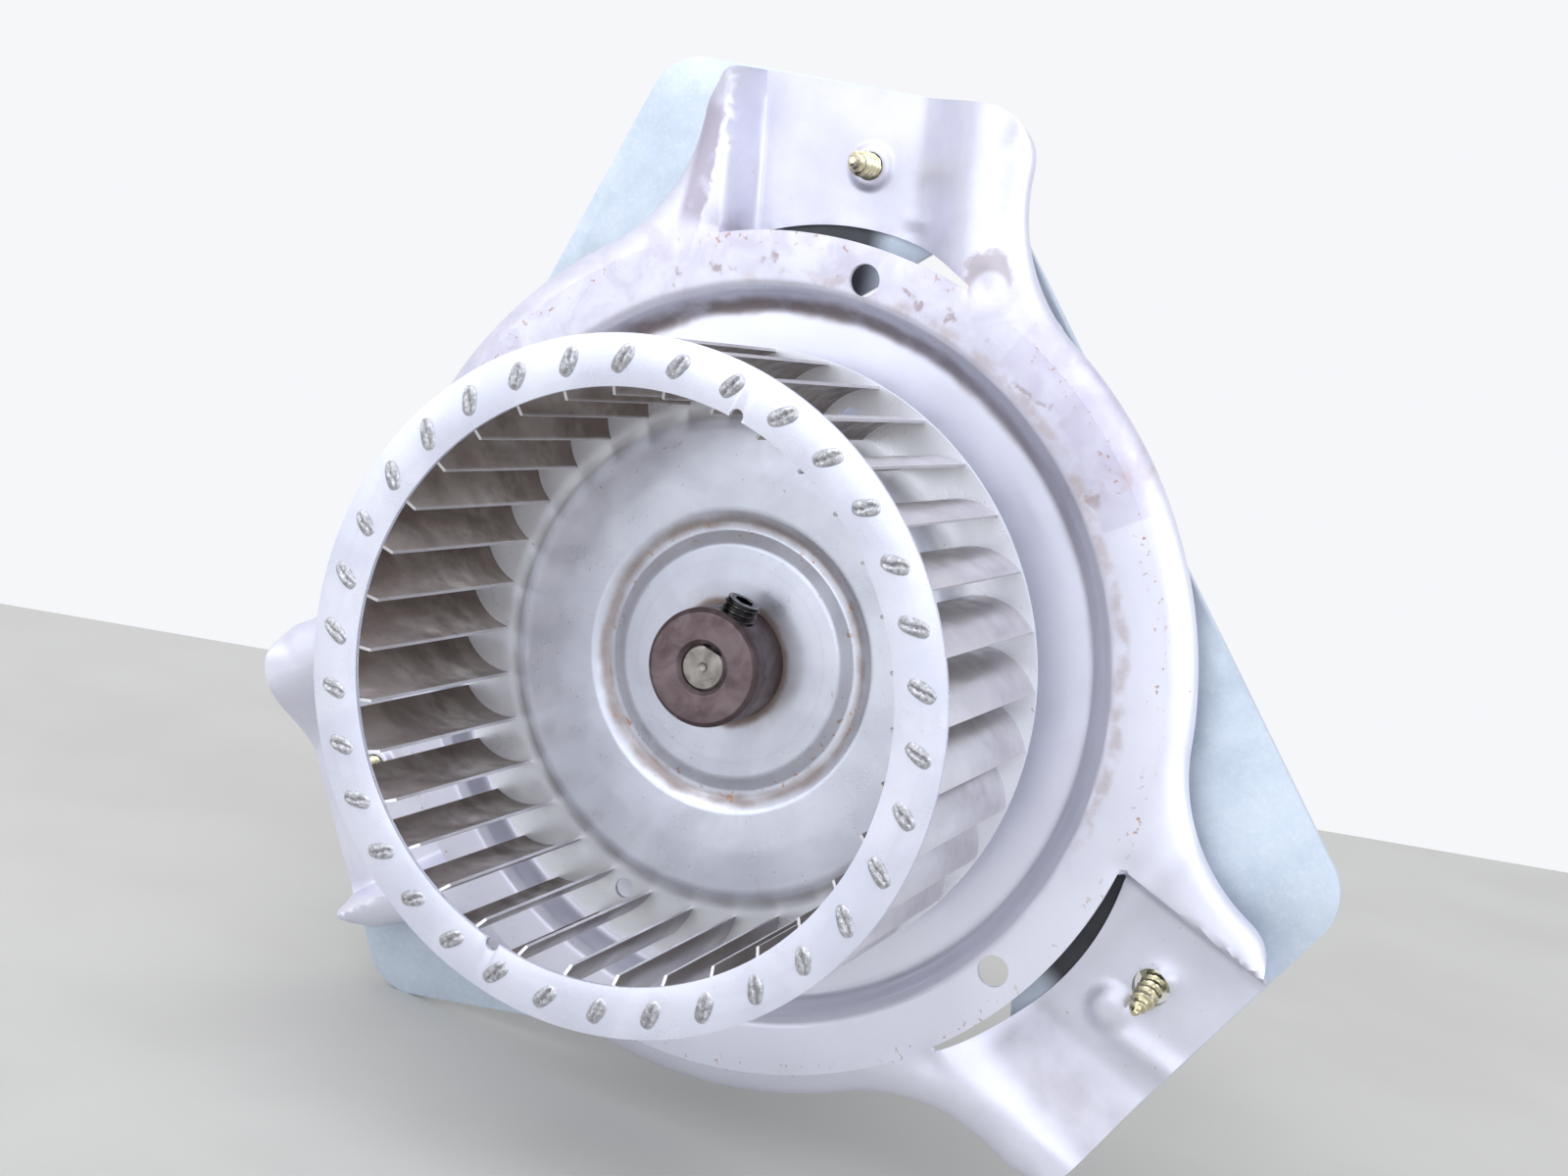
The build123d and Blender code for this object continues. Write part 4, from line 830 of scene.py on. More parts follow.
def plate_depth(points, off_ring):
    """Depth of the plate's front skin behind the mounting face."""
    radius = np.linalg.norm(points, axis=1)
    depth = DISH_DEPTH * (1 - smooth((radius - DISH_WALL[0]) / DISH_WALL[1]))
    hollow, middle, half = FLANGE_HOLLOW
    depth = depth + hollow * np.clip((radius - middle) / half, -1, 1) ** 2 * (radius > middle - half)
    for k in range(LUGS):
        across, along = lug_axes(k)
        u, v = points @ across, points @ along
        on_lug = (v > 40) & (np.abs(u) < 29) & off_ring & (radius > SLIT_R - 0.4)
        depth = depth + np.where(on_lug, trough(u, v), 0)
        # a small dent where each end of the slit stopped
        for end_u in SLIT_SPAN:
            end = (end_u + math.copysign(SLIT_DENT[1], end_u)) * across + SLIT_DENT[2] * along
            depth = depth + SLIT_DENT[0] * bell(points, end, 2.4, 2.0, (across, along))
        if k != LEANING:
            depth = depth - mound(points, screw_point(k), *DIMPLE) * on_lug
    # the leaning screw's panel: a boss, a ridge that runs outwards from it, and a torn collar
    across, along = lug_axes(LEANING)
    u, v = points @ across, points @ along
    on_panel = (v > 76) & (np.abs(u) < 18)
    boss = polar(DIMPLE_SITE[0], HOLE_ANGLES[LEANING] + DIMPLE_SITE[1])
    ridge = np.exp(-((u - 0.9 + 0.175 * (v - 92)) / RIDGE[1]) ** 2)
    lift = np.maximum(mound(points, boss, *BOSS), RIDGE[0] * ridge * smooth((v - 85) / 6))
    collar = bell(points, screw_point(LEANING) + COLLAR[1] * polar(1, COLLAR[2]), 2.4, 2.0)
    depth = depth - (lift + COLLAR[0] * collar) * on_panel
    # a shallow oblong mark on the top lug
    across, along = lug_axes(0)
    away = points - polar(MARK_SITE[0], HOLE_ANGLES[0] + MARK_SITE[1])
    reach = np.maximum(np.abs(away @ across) / MARK[1], np.abs(away @ along) / MARK[2])
    return depth - MARK[0] * (1 - smooth((reach - 0.75) / 0.4))


def roll_weight(points):
    """1 where the outline is rolled back, fading out on the lugs' cut ends."""
    weight = np.ones(len(points))
    for k in range(LUGS):
        v = points @ lug_axes(k)[1]
        weight = np.where(v > 80, np.minimum(weight, 1 - smooth((v - 94.5) / 5.2)), weight)
    return weight


def slit_loops(rim):
    """Each lug's crescent slit, between the round middle and the panel's curved edge."""
    slits = []
    for k in range(LUGS):
        across, along = lug_axes(k)
        u = rim @ across
        chosen = np.where((rim @ along > 0) & (u >= SLIT_SPAN[0]) & (u <= SLIT_SPAN[1]))[0]
        order = chosen[np.argsort(u[chosen])]
        reach = np.linspace(u[order[-1]], u[order[0]], SLIT_STEPS)
        height = PANEL_EDGE_TOP - PANEL_EDGE_R + np.sqrt(PANEL_EDGE_R ** 2 - (reach - PANEL_EDGE_U) ** 2)
        height = np.maximum(height, np.sqrt(SLIT_R ** 2 - reach ** 2) + SLIT_END_GAP)
        slits.append(np.vstack([rim[order], np.outer(reach, across) + np.outer(height, along)]))
    return slits


def infill(border, slits, hole_radii):
    """Mesh points on the lugs and the flange, closer together where the metal bends hard."""
    span = np.arange(-MESH_REACH, MESH_REACH + 1, MESH_STEP)
    grid = []
    for row, z in enumerate(np.arange(-MESH_REACH, MESH_REACH + 1, ROW_STEP)):
        grid += [(x + (MESH_STEP / 2 if row % 2 else 0), z) for x in span]
    grid = np.array(grid)
    keep = inside(grid, border) & (np.linalg.norm(grid, axis=1) > SLIT_R + RIM_CLEARANCE)
    for slit in slits:
        keep &= ~inside(grid, slit) & (gap_to(grid, slit[::3]) > LOOP_CLEARANCE)
    collars, walls = [], []
    for k in range(LUGS):
        across, along = lug_axes(k)
        u, v = grid @ across, grid @ along
        beside = np.abs(squared(u, v) - WALL_STRIP[0])
        keep &= ~((v > SLIT_R - 2) & (beside < WALL_STRIP[1] + LOOP_CLEARANCE))
        v = np.repeat(np.arange(*WALL_STRIP_REACH, 1.0), WALL_STRIP_COLUMNS)
        columns = WALL_STRIP[0] + WALL_STRIP[1] * np.linspace(-1, 1, WALL_STRIP_COLUMNS)
        u = np.tile(columns, len(v) // WALL_STRIP_COLUMNS) - TROUGH_LEAN * (v - TROUGH_SQUARE_V)
        strip = np.outer(u, across) + np.outer(v, along)
        clear = (np.linalg.norm(strip, axis=1) > SLIT_R + RIM_CLEARANCE) & inside(strip, border)
        clear &= ~inside(strip, slits[k])
        for edge in (border, slits[k]):
            clear &= gap_to(strip, edge) > LOOP_CLEARANCE
        walls.append(strip[clear])
        keep &= np.linalg.norm(grid - screw_point(k), axis=1) > COLLAR_R
        for radius in np.linspace(hole_radii[k] + 0.25, COLLAR_R - 0.4, 9):
            collars.append(circle(radius, SCREW_HOLE_STEPS, screw_point(k)))
    grid = grid[keep]
    return np.vstack([grid[gap_to(grid, border) > RIM_CLEARANCE]] + collars + walls)


def front_plate():
    """The pressed front plate, one skin thickened to the sheet's gauge."""
    outline = plate_outline()
    tangent = np.roll(outline, -1, axis=0) - np.roll(outline, 1, axis=0)
    tangent /= np.linalg.norm(tangent, axis=1)[:, None]
    inward = np.stack([-tangent[:, 1], tangent[:, 0]], axis=1)
    weight = roll_weight(outline)
    points = []
    for share in 1 - np.cos(np.linspace(0, math.pi / 2, ROLL_RINGS)):
        flat = outline + inward * ROLL_WIDTH * share
        fall = ROLL_DEPTH * (1 - math.sqrt(max(0.0, 1 - (1 - share) ** 2)))
        points += lifted(flat, plate_depth(flat, True) + weight * fall)
    faces = quads(0, ROLL_RINGS, len(outline))
    border = outline + inward * ROLL_WIDTH

    # round middle, as a polar grid
    bends = np.concatenate([
        np.linspace(SHAFT_OPENING_R, 58.5, 26), np.linspace(59.2, 66.4, 17), np.linspace(67.5, SLIT_R, 7),
    ])
    faces += quads(len(points), len(bends), RING_STEPS, flip=True)
    for radius in bends:
        flat = circle(radius, RING_STEPS)
        points += lifted(flat, plate_depth(flat, False))

    # between the middle and the rolled edge, with the crescent slits left open
    rim = circle(SLIT_R, RING_STEPS)
    slits = slit_loops(rim)
    hole_radii = [LEANING_HOLE_R if k == LEANING else SCREW_HOLE_R for k in range(LUGS)]
    holes = [circle(hole_radii[k], SCREW_HOLE_STEPS, screw_point(k)) for k in range(LUGS)]
    flat, triangles = triangulate(border, [rim] + slits + holes, infill(border, slits, hole_radii))
    first = len(points)
    points += lifted(flat, plate_depth(flat, np.linalg.norm(flat, axis=1) >= SLIT_R + 1e-3))
    faces += [tuple(first + i for i in t) for t in triangles]

    obj = make_object("front_plate_pressing", points, faces)
    tidy_mesh(obj, merge=2e-5)
    with editing(obj.data) as work:
        if sum(f.normal.y * f.calc_area() for f in work.faces) > 0:
            bmesh.ops.reverse_faces(work, faces=work.faces)
    thick = obj.modifiers.new("gauge", "SOLIDIFY")
    thick.thickness = SHEET * MM
    thick.offset = -1
    thick.use_even_offset = False
    apply_modifiers(obj)
    drill(obj, MOUNTING_HOLE_R, [polar(MOUNTING_CIRCLE_R, a) for a in HOLE_ANGLES], -2, 8, 48)
    return piece(obj, "frame", MATERIALS["front_plate_steel"], "front_plate", 40)


# ---- motor plate
def line_meet(distance_a, angle_a, distance_b, angle_b):
    """Where two lines cross, each given by its distance from the axis and its normal's angle."""
    a, b = math.radians(angle_a), math.radians(angle_b)
    scale = math.sin(b - a)
    x = (distance_a * math.sin(b) - distance_b * math.sin(a)) / scale
    y = (distance_b * math.cos(a) - distance_a * math.cos(b)) / scale
    return x, y


def soften_loop(loop, radius):
    """Rounds a closed loop's true corners, leaving its gentle ones."""
    ahead, behind = np.roll(loop, -1, axis=0) - loop, loop - np.roll(loop, 1, axis=0)
    turn = np.arctan2(behind[:, 0] * ahead[:, 1] - behind[:, 1] * ahead[:, 0], (ahead * behind).sum(axis=1))
    sharp = np.where(np.abs(turn) > 0.6)[0]
    keep = np.ones(len(loop), bool)
    for i in sharp:
        away = np.linalg.norm(loop - loop[i], axis=1)
        keep &= (away > radius * 1.15) | (np.arange(len(loop)) == i)
    left = [(p[0], p[1], radius if np.any(sharp == i) else 0) for i, p in enumerate(loop) if keep[i]]
    return rounded(left, steps=8)


END_DISTANCE = 100.4            # from the axis to each short end of the rounded triangle
SIDE_DISTANCE = 74.25
SIDE_TURN = 75.65               # from a mounting hole round to the next long side
PLATE_CORNER_R = 10.0
BORE_R = 15.0
BOLT_HOLE = (2.3, 38.2)         # radius, and distance from the axis
BOLT_ANGLES = (45, 135, 225, 315)
GROUND_HOLE = (2.05, 66, 160)   # radius, distance and angle
PLATE_SCREW_HOLE_R = 2.5
VENT_INNER = (56.0, 15.0, 20)   # radius, end angle past the mounting hole, steps
VENT_OUTER = (78.0, -6.0, 14)
VENT_START = -27.0
VENT_CORNER_R = 4.0


def motor_plate():
    """Galvanised rounded triangle between the motor and the lugs."""
    corners = []
    for angle in reversed(HOLE_ANGLES):
        end = (END_DISTANCE, angle + HOLE_TURN)
        ahead, behind = (SIDE_DISTANCE, angle + SIDE_TURN), (SIDE_DISTANCE, angle + SIDE_TURN - LUG_PITCH)
        for meet in (line_meet(*end, *behind), line_meet(*ahead, *end)):
            corners.append((*meet, PLATE_CORNER_R))
    holes = [circle(BORE_R, 64)]
    holes += [circle(BOLT_HOLE[0], 28, polar(BOLT_HOLE[1], a)) for a in BOLT_ANGLES]
    for k in range(LUGS):
        holes.append(circle(LEANING_HOLE_R if k == LEANING else PLATE_SCREW_HOLE_R, 32, screw_point(k)))
    holes.append(circle(GROUND_HOLE[0], 28, polar(*GROUND_HOLE[1:])))
    for angle in HOLE_ANGLES:
        low = angle + VENT_START
        inner = [polar(VENT_INNER[0], a) for a in np.linspace(low, angle + VENT_INNER[1], VENT_INNER[2])]
        outer = [polar(VENT_OUTER[0], a) for a in np.linspace(angle + VENT_OUTER[1], low, VENT_OUTER[2])]
        holes.append(soften_loop(np.array(inner + outer), VENT_CORNER_R))
    obj = slab("motor_plate_blank", rounded(corners, steps=14), holes, MOTOR_PLATE_Y, SHIELD_Y)
    bevel(obj, 0.12)
    return piece(obj, "frame", MATERIALS["galvanised_plate"], "motor_plate")


# ---- wheel
BLADE_SHEET = 0.5
BLADE_TAIL = (44.1, 6.8)
BLADE_BELLY = (49.7, 4.9)
BLADE_TIP = (53.6, 0.0)


def arc_through(a, b, c, steps):
    """Points on the circle through three points, from a to c, with unit normals."""
    (ax, ay), (bx, by), (cx, cy) = a, b, c
    d = 2 * (ax * (by - cy) + bx * (cy - ay) + cx * (ay - by))
    ux = ((ax**2 + ay**2) * (by - cy) + (bx**2 + by**2) * (cy - ay) + (cx**2 + cy**2) * (ay - by)) / d
    uy = ((ax**2 + ay**2) * (cx - bx) + (bx**2 + by**2) * (ax - cx) + (cx**2 + cy**2) * (bx - ax)) / d
    centre = np.array([ux, uy])
    radius = math.hypot(ax - ux, ay - uy)
    first, last = math.atan2(ay - uy, ax - ux), math.atan2(cy - uy, cx - ux)
    turns = np.linspace(first, last, steps)
    normals = np.stack([np.cos(turns), np.sin(turns)], axis=1)
    return centre + radius * normals, normals


def wheel_blades():
    """Thirty-four curved blades; the hollow face takes the first material and the back the second."""
    line, normals = arc_through(BLADE_TAIL, BLADE_BELLY, BLADE_TIP, 13)
    half = BLADE_SHEET / 2
    front, back = WHEEL_FRONT + WHEEL_SHEET, BACK_PLATE_Y
    levels = np.concatenate([[0, 0.25, 0.7, 1.4], np.linspace(3, 42, 9), [43.6, 44.6, 44.85]]) + front
    count = len(line)
    points, faces, kinds = [], [], []
    for k in range(BLADES):
        turn = math.radians(BLADE_TIP_ANGLE + BLADE_PITCH * k)
        c, s = math.cos(turn), math.sin(turn)
        base = len(points)
        for y in levels:
            # the corner at the inner edge is cropped where it meets the ring
            nearness = max(0.0, 1 - (y - front) / 1.4)
            crop = nearness * np.linspace(1, 0, count)[:, None] ** 6 * (line[2] - line[0])
            for sign in (-1, 1):
                skin = (line + normals * half * sign + crop) @ np.array([[c, s], [-s, c]])
                points += [(x, y, z) for x, z in skin]
        # point numbers by level, side and place along the curve
        at = (base + np.arange(len(points) - base).reshape(len(levels), 2, count)).tolist()
        for low, high in zip(at[:-1], at[1:]):
            for i in range(count - 1):
                faces.append((low[0][i], low[0][i + 1], high[0][i + 1], high[0][i]))
                faces.append((low[1][i], high[1][i], high[1][i + 1], low[1][i + 1]))
                kinds += [0, 1]
            for i in (0, count - 1):
                faces.append((low[0][i], high[0][i], high[1][i], low[1][i]))
                kinds.append(1)
        for end in (at[0], at[-1]):
            for i in range(count - 1):
                faces.append((end[0][i], end[1][i], end[1][i + 1], end[0][i + 1]))
                kinds.append(1)
    obj = make_object("wheel_blade_set", points, faces)
    obj.data.polygons.foreach_set("material_index", np.array(kinds, np.int32))
    with editing(obj.data) as work:
        bmesh.ops.recalc_face_normals(work, faces=work.faces)
    materials = [MATERIALS["blade_hollow"], MATERIALS["blade_back"]]
    kinds = np.zeros(len(obj.data.polygons), np.int32)
    obj.data.polygons.foreach_get("material_index", kinds)
    piece(obj, "rotor", materials, "wheel_blades", 40)
    obj.data.polygons.foreach_set("material_index", kinds)
    return obj


TAB_R = 50.1
TAB_TURN = 5.7                  # from a blade's tip round to the middle of its tab
TAB_SLANT = -36
TAB_SIZE = (2.4, 1.3, 0.55)     # half length, half width, rise


def wheel_tabs():
    """Clinched tab heads: two ears folded down over each slot, front and back."""
    rings, steps = 7, 22
    half_length, half_width, rise = TAB_SIZE
    points, faces = [], []
    for face_y, out in ((WHEEL_FRONT, -1), (BACK_PLATE_Y + WHEEL_SHEET, 1)):
        for k in range(BLADES):
            angle = BLADE_TIP_ANGLE + BLADE_PITCH * k + TAB_TURN
            centre = polar(TAB_R, angle)
            slant = angle + TAB_SLANT + 4 * math.sin(k * 2.3)
            along, across = polar(1, slant), polar(1, slant + 90)
            stretch = 1 + 0.07 * math.sin(k * 1.7)
            base = len(points)
            for i in range(rings + 1):
                share = i / rings
                for j in range(steps):
                    t = TURN * j / steps
                    u, v = share * math.cos(t), share * math.sin(t)
                    square = 1 + 0.10 * math.sin(2 * t) ** 2 * share
                    u, v = u * square, v * square
                    dome = max(0.0, 1 - share ** 3.2) ** 0.5
                    crease = math.exp(-((v - 0.22 * math.sin(2.6 * u)) / 0.17) ** 2)
                    lift = rise * dome * (1 - 0.78 * crease) * (1 + 0.16 * math.sin(3 * u + k))
                    flat = centre + along * u * half_length * stretch + across * v * half_width
                    points.append((flat[0], face_y + out * max(0.0, lift), flat[1]))
            # one more row closes the rim, sunk a little into the wheel
            for x, _, z in points[-steps:]:
                points.append((x, face_y - out * 0.1, z))
            faces += quads(base, rings + 2, steps, flip=True)
            faces.append(tuple(range(len(points) - steps, len(points))))
    obj = make_object("wheel_tab_heads", points, faces)
    tidy_mesh(obj)
    return piece(obj, "rotor", MATERIALS["tabs"], "wheel_blades", 60)


NOTCH_R = 1.15
RIM_HOLE_R = 1.8
DISC_Y = -7.55                  # front of the back plate's flat middle


def wheel_front_ring():
    """Flat ring at the wheel's inlet, with a small notch at each end of one diameter."""
    inner, outer = circle(RING_INNER_R, 240), circle(WHEEL_R, 300)
    obj = slab("wheel_inlet_ring", outer, [inner], WHEEL_FRONT, WHEEL_FRONT + WHEEL_SHEET)
    drill(obj, NOTCH_R, [polar(46.3, a) for a in NOTCH_ANGLES], WHEEL_FRONT - 2, WHEEL_FRONT + 3, 28)
    bevel(obj, 0.1, 2, 40)
    return piece(obj, "rotor", MATERIALS["ring"], "wheel_front_ring")


def wheel_back_plate():
    """Back plate with its domed middle and pressed groove."""
    level, rim = DISC_Y, BACK_PLATE_Y
    face = [
        (WHEEL_R, rim, 0), (43.2, rim, 2.6), (40.2, level + 0.1, 3.2), (33, level - 0.12, 30),
        (26.2, level, 2.2), (23.9, level + 1.3, 1.0), (22.5, level + 1.3, 1.0), (20.2, level, 2.2),
        (14, level - 0.12, 20), (7.65, level, 0),
    ]
    front = rounded(face, closed=False, steps=8)
    rear = [(r, y + WHEEL_SHEET) for r, y in reversed(front)]
    obj = lathe("wheel_dished_plate", front + rear, 240)
    drill(obj, RIM_HOLE_R, [polar(46.6, a) for a in NOTCH_ANGLES], rim - 2, rim + 3, 32)
    return piece(obj, "rotor", MATERIALS["back_plate"], "wheel_back_plate", 40)


def thread(name, start, end, core, crest, pitch, steps=40, taper=0.0, tip=0.15):
    """A threaded rod along +Y from start to end; the last taper millimetres narrow to the tip radius."""
    rows = int((end - start) / pitch * 10)
    points = []
    for i in range(rows + 1):
        y = start + (end - start) * i / rows
        shrink = 1.0 if taper <= 0 else min(1.0, tip / core + (1 - tip / core) * (end - y) / taper)
        for j in range(steps):
            t = TURN * j / steps
            phase = (y / pitch + j / steps) % 1.0
            ridge = max(0.0, 1 - abs(phase - 0.5) / 0.3)
            fade = min(1.0, (y - start) / pitch, (end - y) / (0.6 * pitch) + 0.1)
            radius = core * shrink + crest * ridge * max(0.0, fade) * (0.35 + 0.65 * shrink)
            points.append((radius * math.cos(t), y, radius * math.sin(t)))
    faces = quads(0, rows + 1, steps, flip=True)
    faces += [tuple(range(steps)), tuple(rows * steps + j for j in range(steps))]
    obj = make_object(name, points, faces)
    tidy_mesh(obj)
    return obj


SET_SCREW_Y = -14.8


def aim_at_flat(obj):
    """Turns an object that lies along +Y onto the set screw's axis."""
    direction = Vector((math.cos(math.radians(FLAT_ANGLE)), 0, math.sin(math.radians(FLAT_ANGLE))))
    aim = Vector((0, 1, 0)).rotation_difference(direction).to_matrix().to_4x4()
    return move(obj, Matrix.Translation((0, SET_SCREW_Y, 0)) @ aim)


def wheel_hub():
    """Turned hub with a tapped hole for the set screw."""
    level = DISC_Y
    profile = rounded([
        (4.75, -18.8, 0.25), (9.3, -18.8, 0.35), (10.12, -17.95, 0.35), (10.12, level, 0),
        (7.6, level, 0), (7.6, level + 0.8, 0), (9.2, level + 0.8, 0.2), (8.4, level + 2.0, 0.3),
        (3.98, level + 2.0, 0), (3.98, -18.0, 0.2),
    ], steps=4)
    obj = lathe("wheel_hub_turned", profile, 160)
    cut(obj, aim_at_flat(slab("cutter", circle(3.16, 48), [], 0, 14)))
    bevel(obj, 0.12, 2, 50)
    return piece(obj, "rotor", MATERIALS["hub_steel"], "wheel_hub")


def hub_set_screw():
    """Black socket set screw standing proud of the hub."""
    body = thread("set_screw_thread", 3.35, 12.68, 2.75, 0.34, 1.05, steps=48)
    cut(body, slab("cutter", circle(1.75, 6), [], 9.6, 14))
    aim_at_flat(body)
    return piece(body, "rotor", MATERIALS["black_oxide"], "hub_set_screw", 30)


def motor_shaft():
    """Ground shaft with turned ends, a centre mark and a flat under the set screw."""
    start, end = -18.2, 87.7
    profile = rounded([
        (0, start + 0.9, 0), (0.9, start, 0.1), (3.55, start, 0.15), (3.96, start + 0.42, 0.15),
        (3.96, end - 0.42, 0.15), (3.55, end, 0.15), (0.9, end, 0.1), (0, end - 0.9, 0),
    ], closed=False, steps=3)
    obj = lathe("motor_shaft_ground", profile, 96, closed=False)
    block = slab("cutter", [(-6, 0), (6, 0), (6, 8), (-6, 8)], [], start - 1, start + 16)
    move(block, spin_y(FLAT_ANGLE - 90) @ Matrix.Translation((0, 0, 3.3)))
    cut(obj, block)
    return piece(obj, "rotor", MATERIALS["shaft_steel"], "motor_shaft", 30)


# ---- lug screws
def lug_screws():
    """Three self-tapping screws with washer heads behind the motor plate; one leans."""
    made = []
    for k in range(LUGS):
        rod = thread("screw_rod", 0, SHIELD_Y - 0.35, 1.72, 0.58, 1.6, steps=36, taper=3.4, tip=0.55)
        move(rod, Matrix.Rotation(math.pi, 4, "Z"))
        move(rod, Matrix.Translation((0, SHIELD_Y, 0)))
        head = lathe("screw_head", rounded([
            (0, SHIELD_Y - 0.01, 0), (4.45, SHIELD_Y - 0.01, 0.15), (4.45, SHIELD_Y + 0.7, 0.3),
            (3.7, SHIELD_Y + 0.85, 0.2), (3.55, SHIELD_Y + 3.1, 0.4), (0, SHIELD_Y + 3.15, 0),
        ], closed=False, steps=4), 48, closed=False)
        hexagon = [(a, b, 0.35) for a, b in circle(3.9, 6)]
        flats = slab("hexagon", rounded(hexagon, steps=3), [], SHIELD_Y + 0.7, SHIELD_Y + 3.0)
        bevel(flats, 0.25)
        slot_cut = slab("cutter", [(-0.5, -2.7), (0.5, -2.7), (0.5, 2.7), (-0.5, 2.7)], [],
                        SHIELD_Y + 2.2, SHIELD_Y + 5)
        head = join("head", [head, flats])
        cut(head, slot_cut)
        screw = join("screw", [rod, head])
        x, z = screw_point(k)
        place = Matrix.Translation((x, 0, z))
        if k == LEANING:
            heading = polar(1, LEAN_HEADING)
            axis = Vector((-heading[1], 0, heading[0]))
            pivot = Matrix.Translation((0, (PANEL_DEPTH + SHIELD_Y) / 2, 0))
            lean = pivot @ Matrix.Rotation(math.radians(LEAN), 4, axis) @ pivot.inverted()
            place = place @ lean @ Matrix.Translation((0, LEAN_STANDOFF, 0))
        move(screw, place)
        made.append(screw)
    obj = join("lug_screw_set", made)
    return piece(obj, "frame", MATERIALS["yellow_zinc"], "lug_screws", 30)


# ---- CAD nodes that keep their shape
KEPT = {
    "bright_zinc": (
        "seal_retainer", "seal_rivets", "bearing_retainers", "ground_screw", "rotor_spacers",
        "through_bolts", "through_bolt_nuts"),
    "seal_graphite": ("seal_washer", "thrust_washers"),
    "cast_aluminium": ("motor_front_shield", "motor_rear_shield", "cooling_fan_hub"),
    "sheet_aluminium": ("cooling_fan_blades",),
    "sintered_bronze": ("front_bearing", "rear_bearing"),
    "felt": ("oil_wicks",),
    "lamination_steel": ("stator_core", "rotor_core"),
    "cage_aluminium": ("rotor_cage",),
    "white_nylon": ("coil_bobbins",),
    "enamelled_copper": ("stator_coils",),
    "copper": ("shading_rings",),
    "tinned_brass": ("terminal_tabs",),
    "black_phenolic": ("thermal_protector", "terminal_block"),
}


def dress_kept_nodes():
    """Procedural materials for the nodes whose CAD shape is right."""
    for kind, names in KEPT.items():
        for name in names:
            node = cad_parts[name]
            node.data.materials.clear()
            node.data.materials.append(MATERIALS[kind])


for build in (
        front_plate, motor_plate, wheel_blades, wheel_tabs, wheel_front_ring, wheel_back_plate, wheel_hub,
        hub_set_screw, motor_shaft, lug_screws, dress_kept_nodes):
    build()

# ---- camera, light and floor
CAMERA_PLACE = Vector((0.13353, -0.32956, 0.06943))
AZIMUTH, ELEVATION, ROLL = 21.437, 8.959, -12.21
LENS = 47.55


def camera():
    """Camera in front, to the right and a little above, rolled to the left."""
    a, e, r = math.radians(AZIMUTH), math.radians(ELEVATION), math.radians(ROLL)
    back = Vector((math.sin(a) * math.cos(e), -math.cos(a) * math.cos(e), math.sin(e)))
    level = Vector((0, 0, 1)).cross(back).normalized()
    upright = back.cross(level)
    up = math.cos(r) * upright + math.sin(r) * level
    right = up.cross(back)
    data = bpy.data.cameras.new("camera")
    data.lens = LENS
    data.sensor_width = 36
    data.clip_start = 0.01
    obj = bpy.data.objects.new("camera", data)
    turn = Matrix((right, up, back)).transposed().to_4x4()
    obj.matrix_world = Matrix.Translation(CAMERA_PLACE) @ turn
    bpy.context.scene.collection.objects.link(obj)
    bpy.context.scene.camera = obj


def stage_material(name, dark, light, size, roughness):
    """Plain pale surface with barely visible variation."""
    m = Recipe(name, 0.0)
    m.start(dark, light, size)
    return m.finish(m.spread(size / 4, roughness - 0.04, roughness + 0.04))


FLOOR_EDGE_POINT = (-315.6, 166.6)
FLOOR_EDGE_DIRECTION = (0.846, 0.533)
FLOOR_SIZE = 6000


def floor_sheet():
    """A plain pale floor under the lowest point; it ends behind the fan, where a white room begins."""
    low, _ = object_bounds()
    level = low.z / MM
    edge, along = np.array(FLOOR_EDGE_POINT), np.array(FLOOR_EDGE_DIRECTION)
    forward = np.array([along[1], -along[0]])
    left, right = edge - along * FLOOR_SIZE / 2, edge + along * FLOOR_SIZE / 2
    corners = [left + forward * FLOOR_SIZE, right + forward * FLOOR_SIZE, right, left]
    floor = make_object("floor", [(x, y, level) for x, y in corners], [(0, 1, 2, 3)])
    pale = stage_material("floor_pale", (0.475, 0.47, 0.45), (0.515, 0.51, 0.49), 60, 0.6)
    floor.data.materials.append(pale)


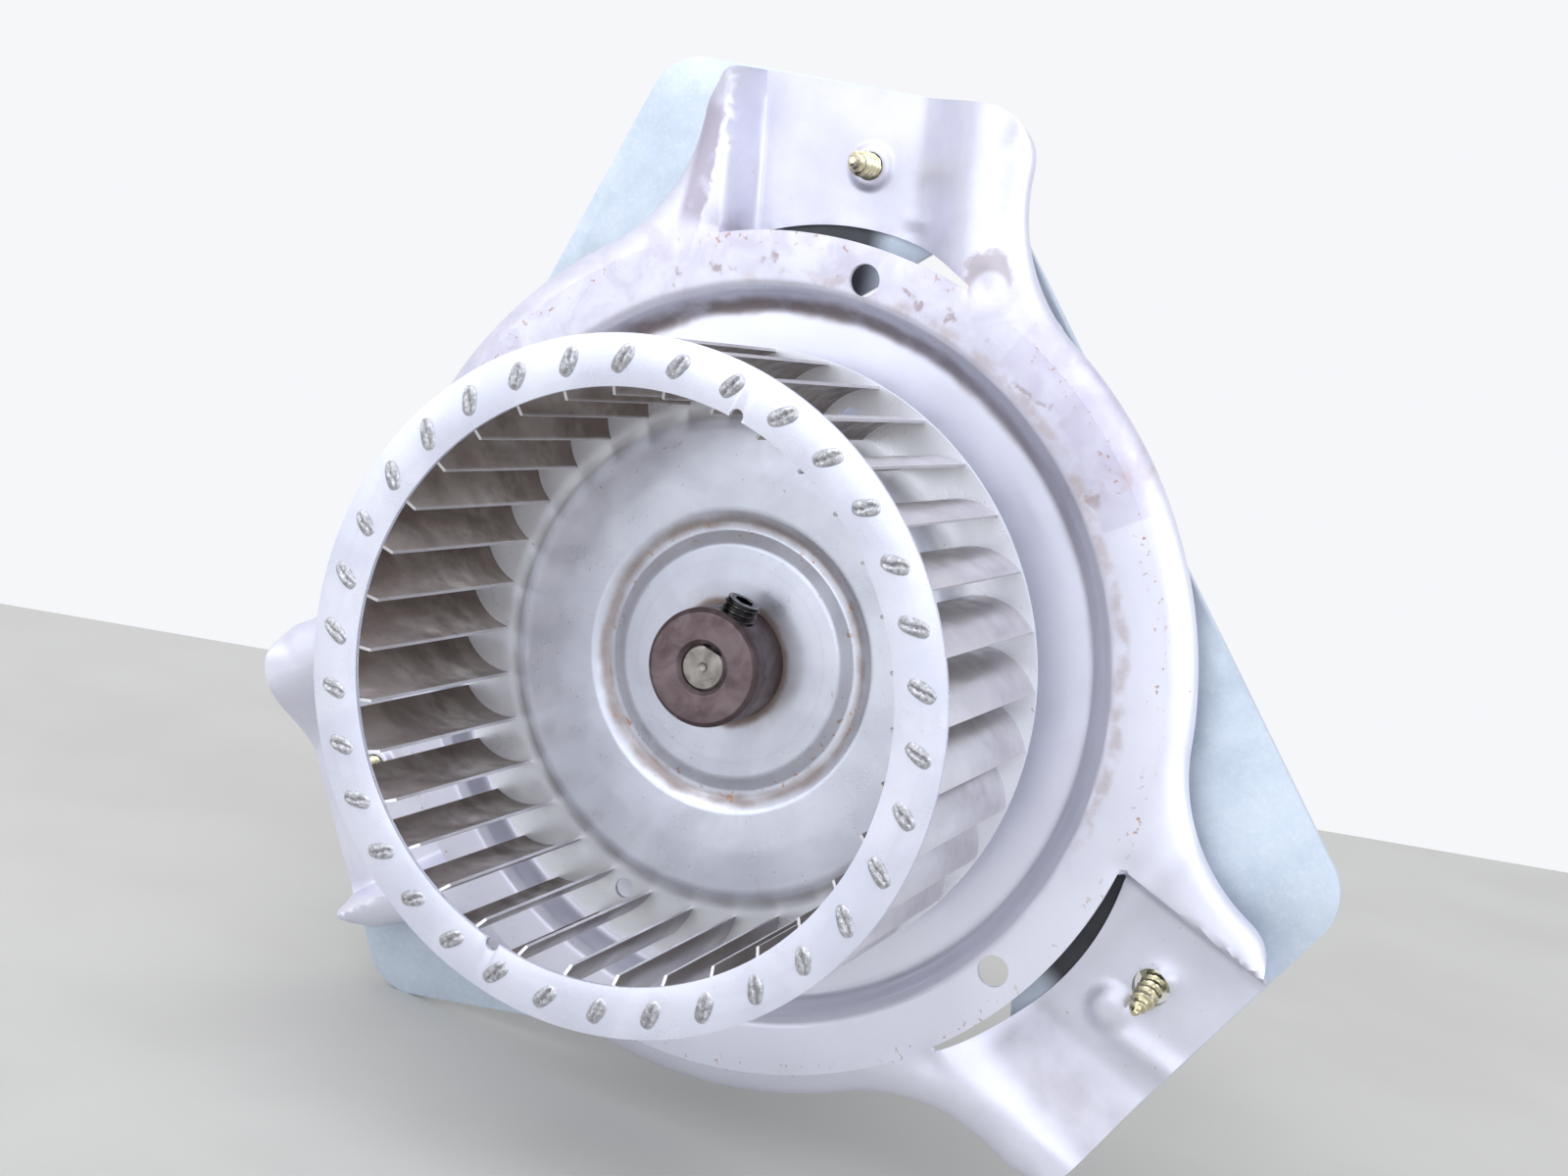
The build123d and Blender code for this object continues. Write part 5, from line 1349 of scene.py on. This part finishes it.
def light(name, place, target, size, power, colour):
    """A rectangular softbox that the camera doesn't see."""
    data = bpy.data.lights.new(name, "AREA")
    data.shape = "RECTANGLE"
    data.size, data.size_y = size
    data.energy = power
    data.color = colour
    obj = bpy.data.objects.new(name, data)
    aim = (Vector(target) - Vector(place)).to_track_quat("-Z", "Y")
    obj.matrix_world = Matrix.Translation(place) @ aim.to_matrix().to_4x4()
    obj.visible_camera = False
    bpy.context.scene.collection.objects.link(obj)


ROOM_BELOW = (0.60, 0.61, 0.66, 1)
ROOM_ABOVE = (0.75, 0.77, 0.80, 1)
ROOM_BEHIND = (0.925, 0.93, 0.955, 1)


def daylight():
    """A soft room: grey below, brighter above, and white behind the fan."""
    world = bpy.data.worlds.new("daylight")
    world.use_nodes = True
    tree = world.node_tree
    direction = add_node(tree, "TexCoord", {}).outputs["Generated"]
    upward = add_node(tree, "SeparateXYZ", {"Vector": direction}).outputs["Z"]
    height = add_node(tree, "MapRange", {"Value": upward, "From Min": -0.4, "From Max": 1.0})
    away = (-FLOOR_EDGE_DIRECTION[1], FLOOR_EDGE_DIRECTION[0], 0)
    backward = add_node(tree, "VectorMath", {0: direction, 1: away}, operation="DOT_PRODUCT").outputs["Value"]
    span = {"Value": backward, "From Min": -0.05, "From Max": 0.35}
    share = add_node(tree, "MapRange", span, interpolation_type="SMOOTHSTEP")
    colour = ROOM_BELOW
    for amount, other in ((height, ROOM_ABOVE), (share, ROOM_BEHIND)):
        mix = add_node(tree, "Mix", {0: amount.outputs["Result"], 6: colour, 7: other}, data_type="RGBA")
        colour = mix.outputs[2]
    tree.links.new(colour, tree.nodes["Background"].inputs["Color"])
    bpy.context.scene.world = world


LIGHTS = (                      # name, place, target, size, watts and colour
    ("key", (-0.5, -0.55, 0.9), (0, 0, 0), (1.0, 0.8), 2.4, (0.98, 0.99, 1.0)),
    ("top", (0.05, -0.60, 1.0), (0, -0.30, 0), (1.6, 1.1), 6.0, (0.98, 0.98, 1.0)),
    ("low", (-0.60, -1.35, 0.42), (0, 0, 0), (2.3, 1.1), 9.8, (0.90, 0.93, 1.0)),
    ("fill", (1.50, -0.90, 0.50), (0, 0, 0), (2.2, 1.5), 17.0, (0.90, 0.94, 1.0)),
)

for row in LIGHTS:
    light(*row)
daylight()
camera()
floor_sheet()
bpy.context.scene.view_settings.view_transform = "Standard"
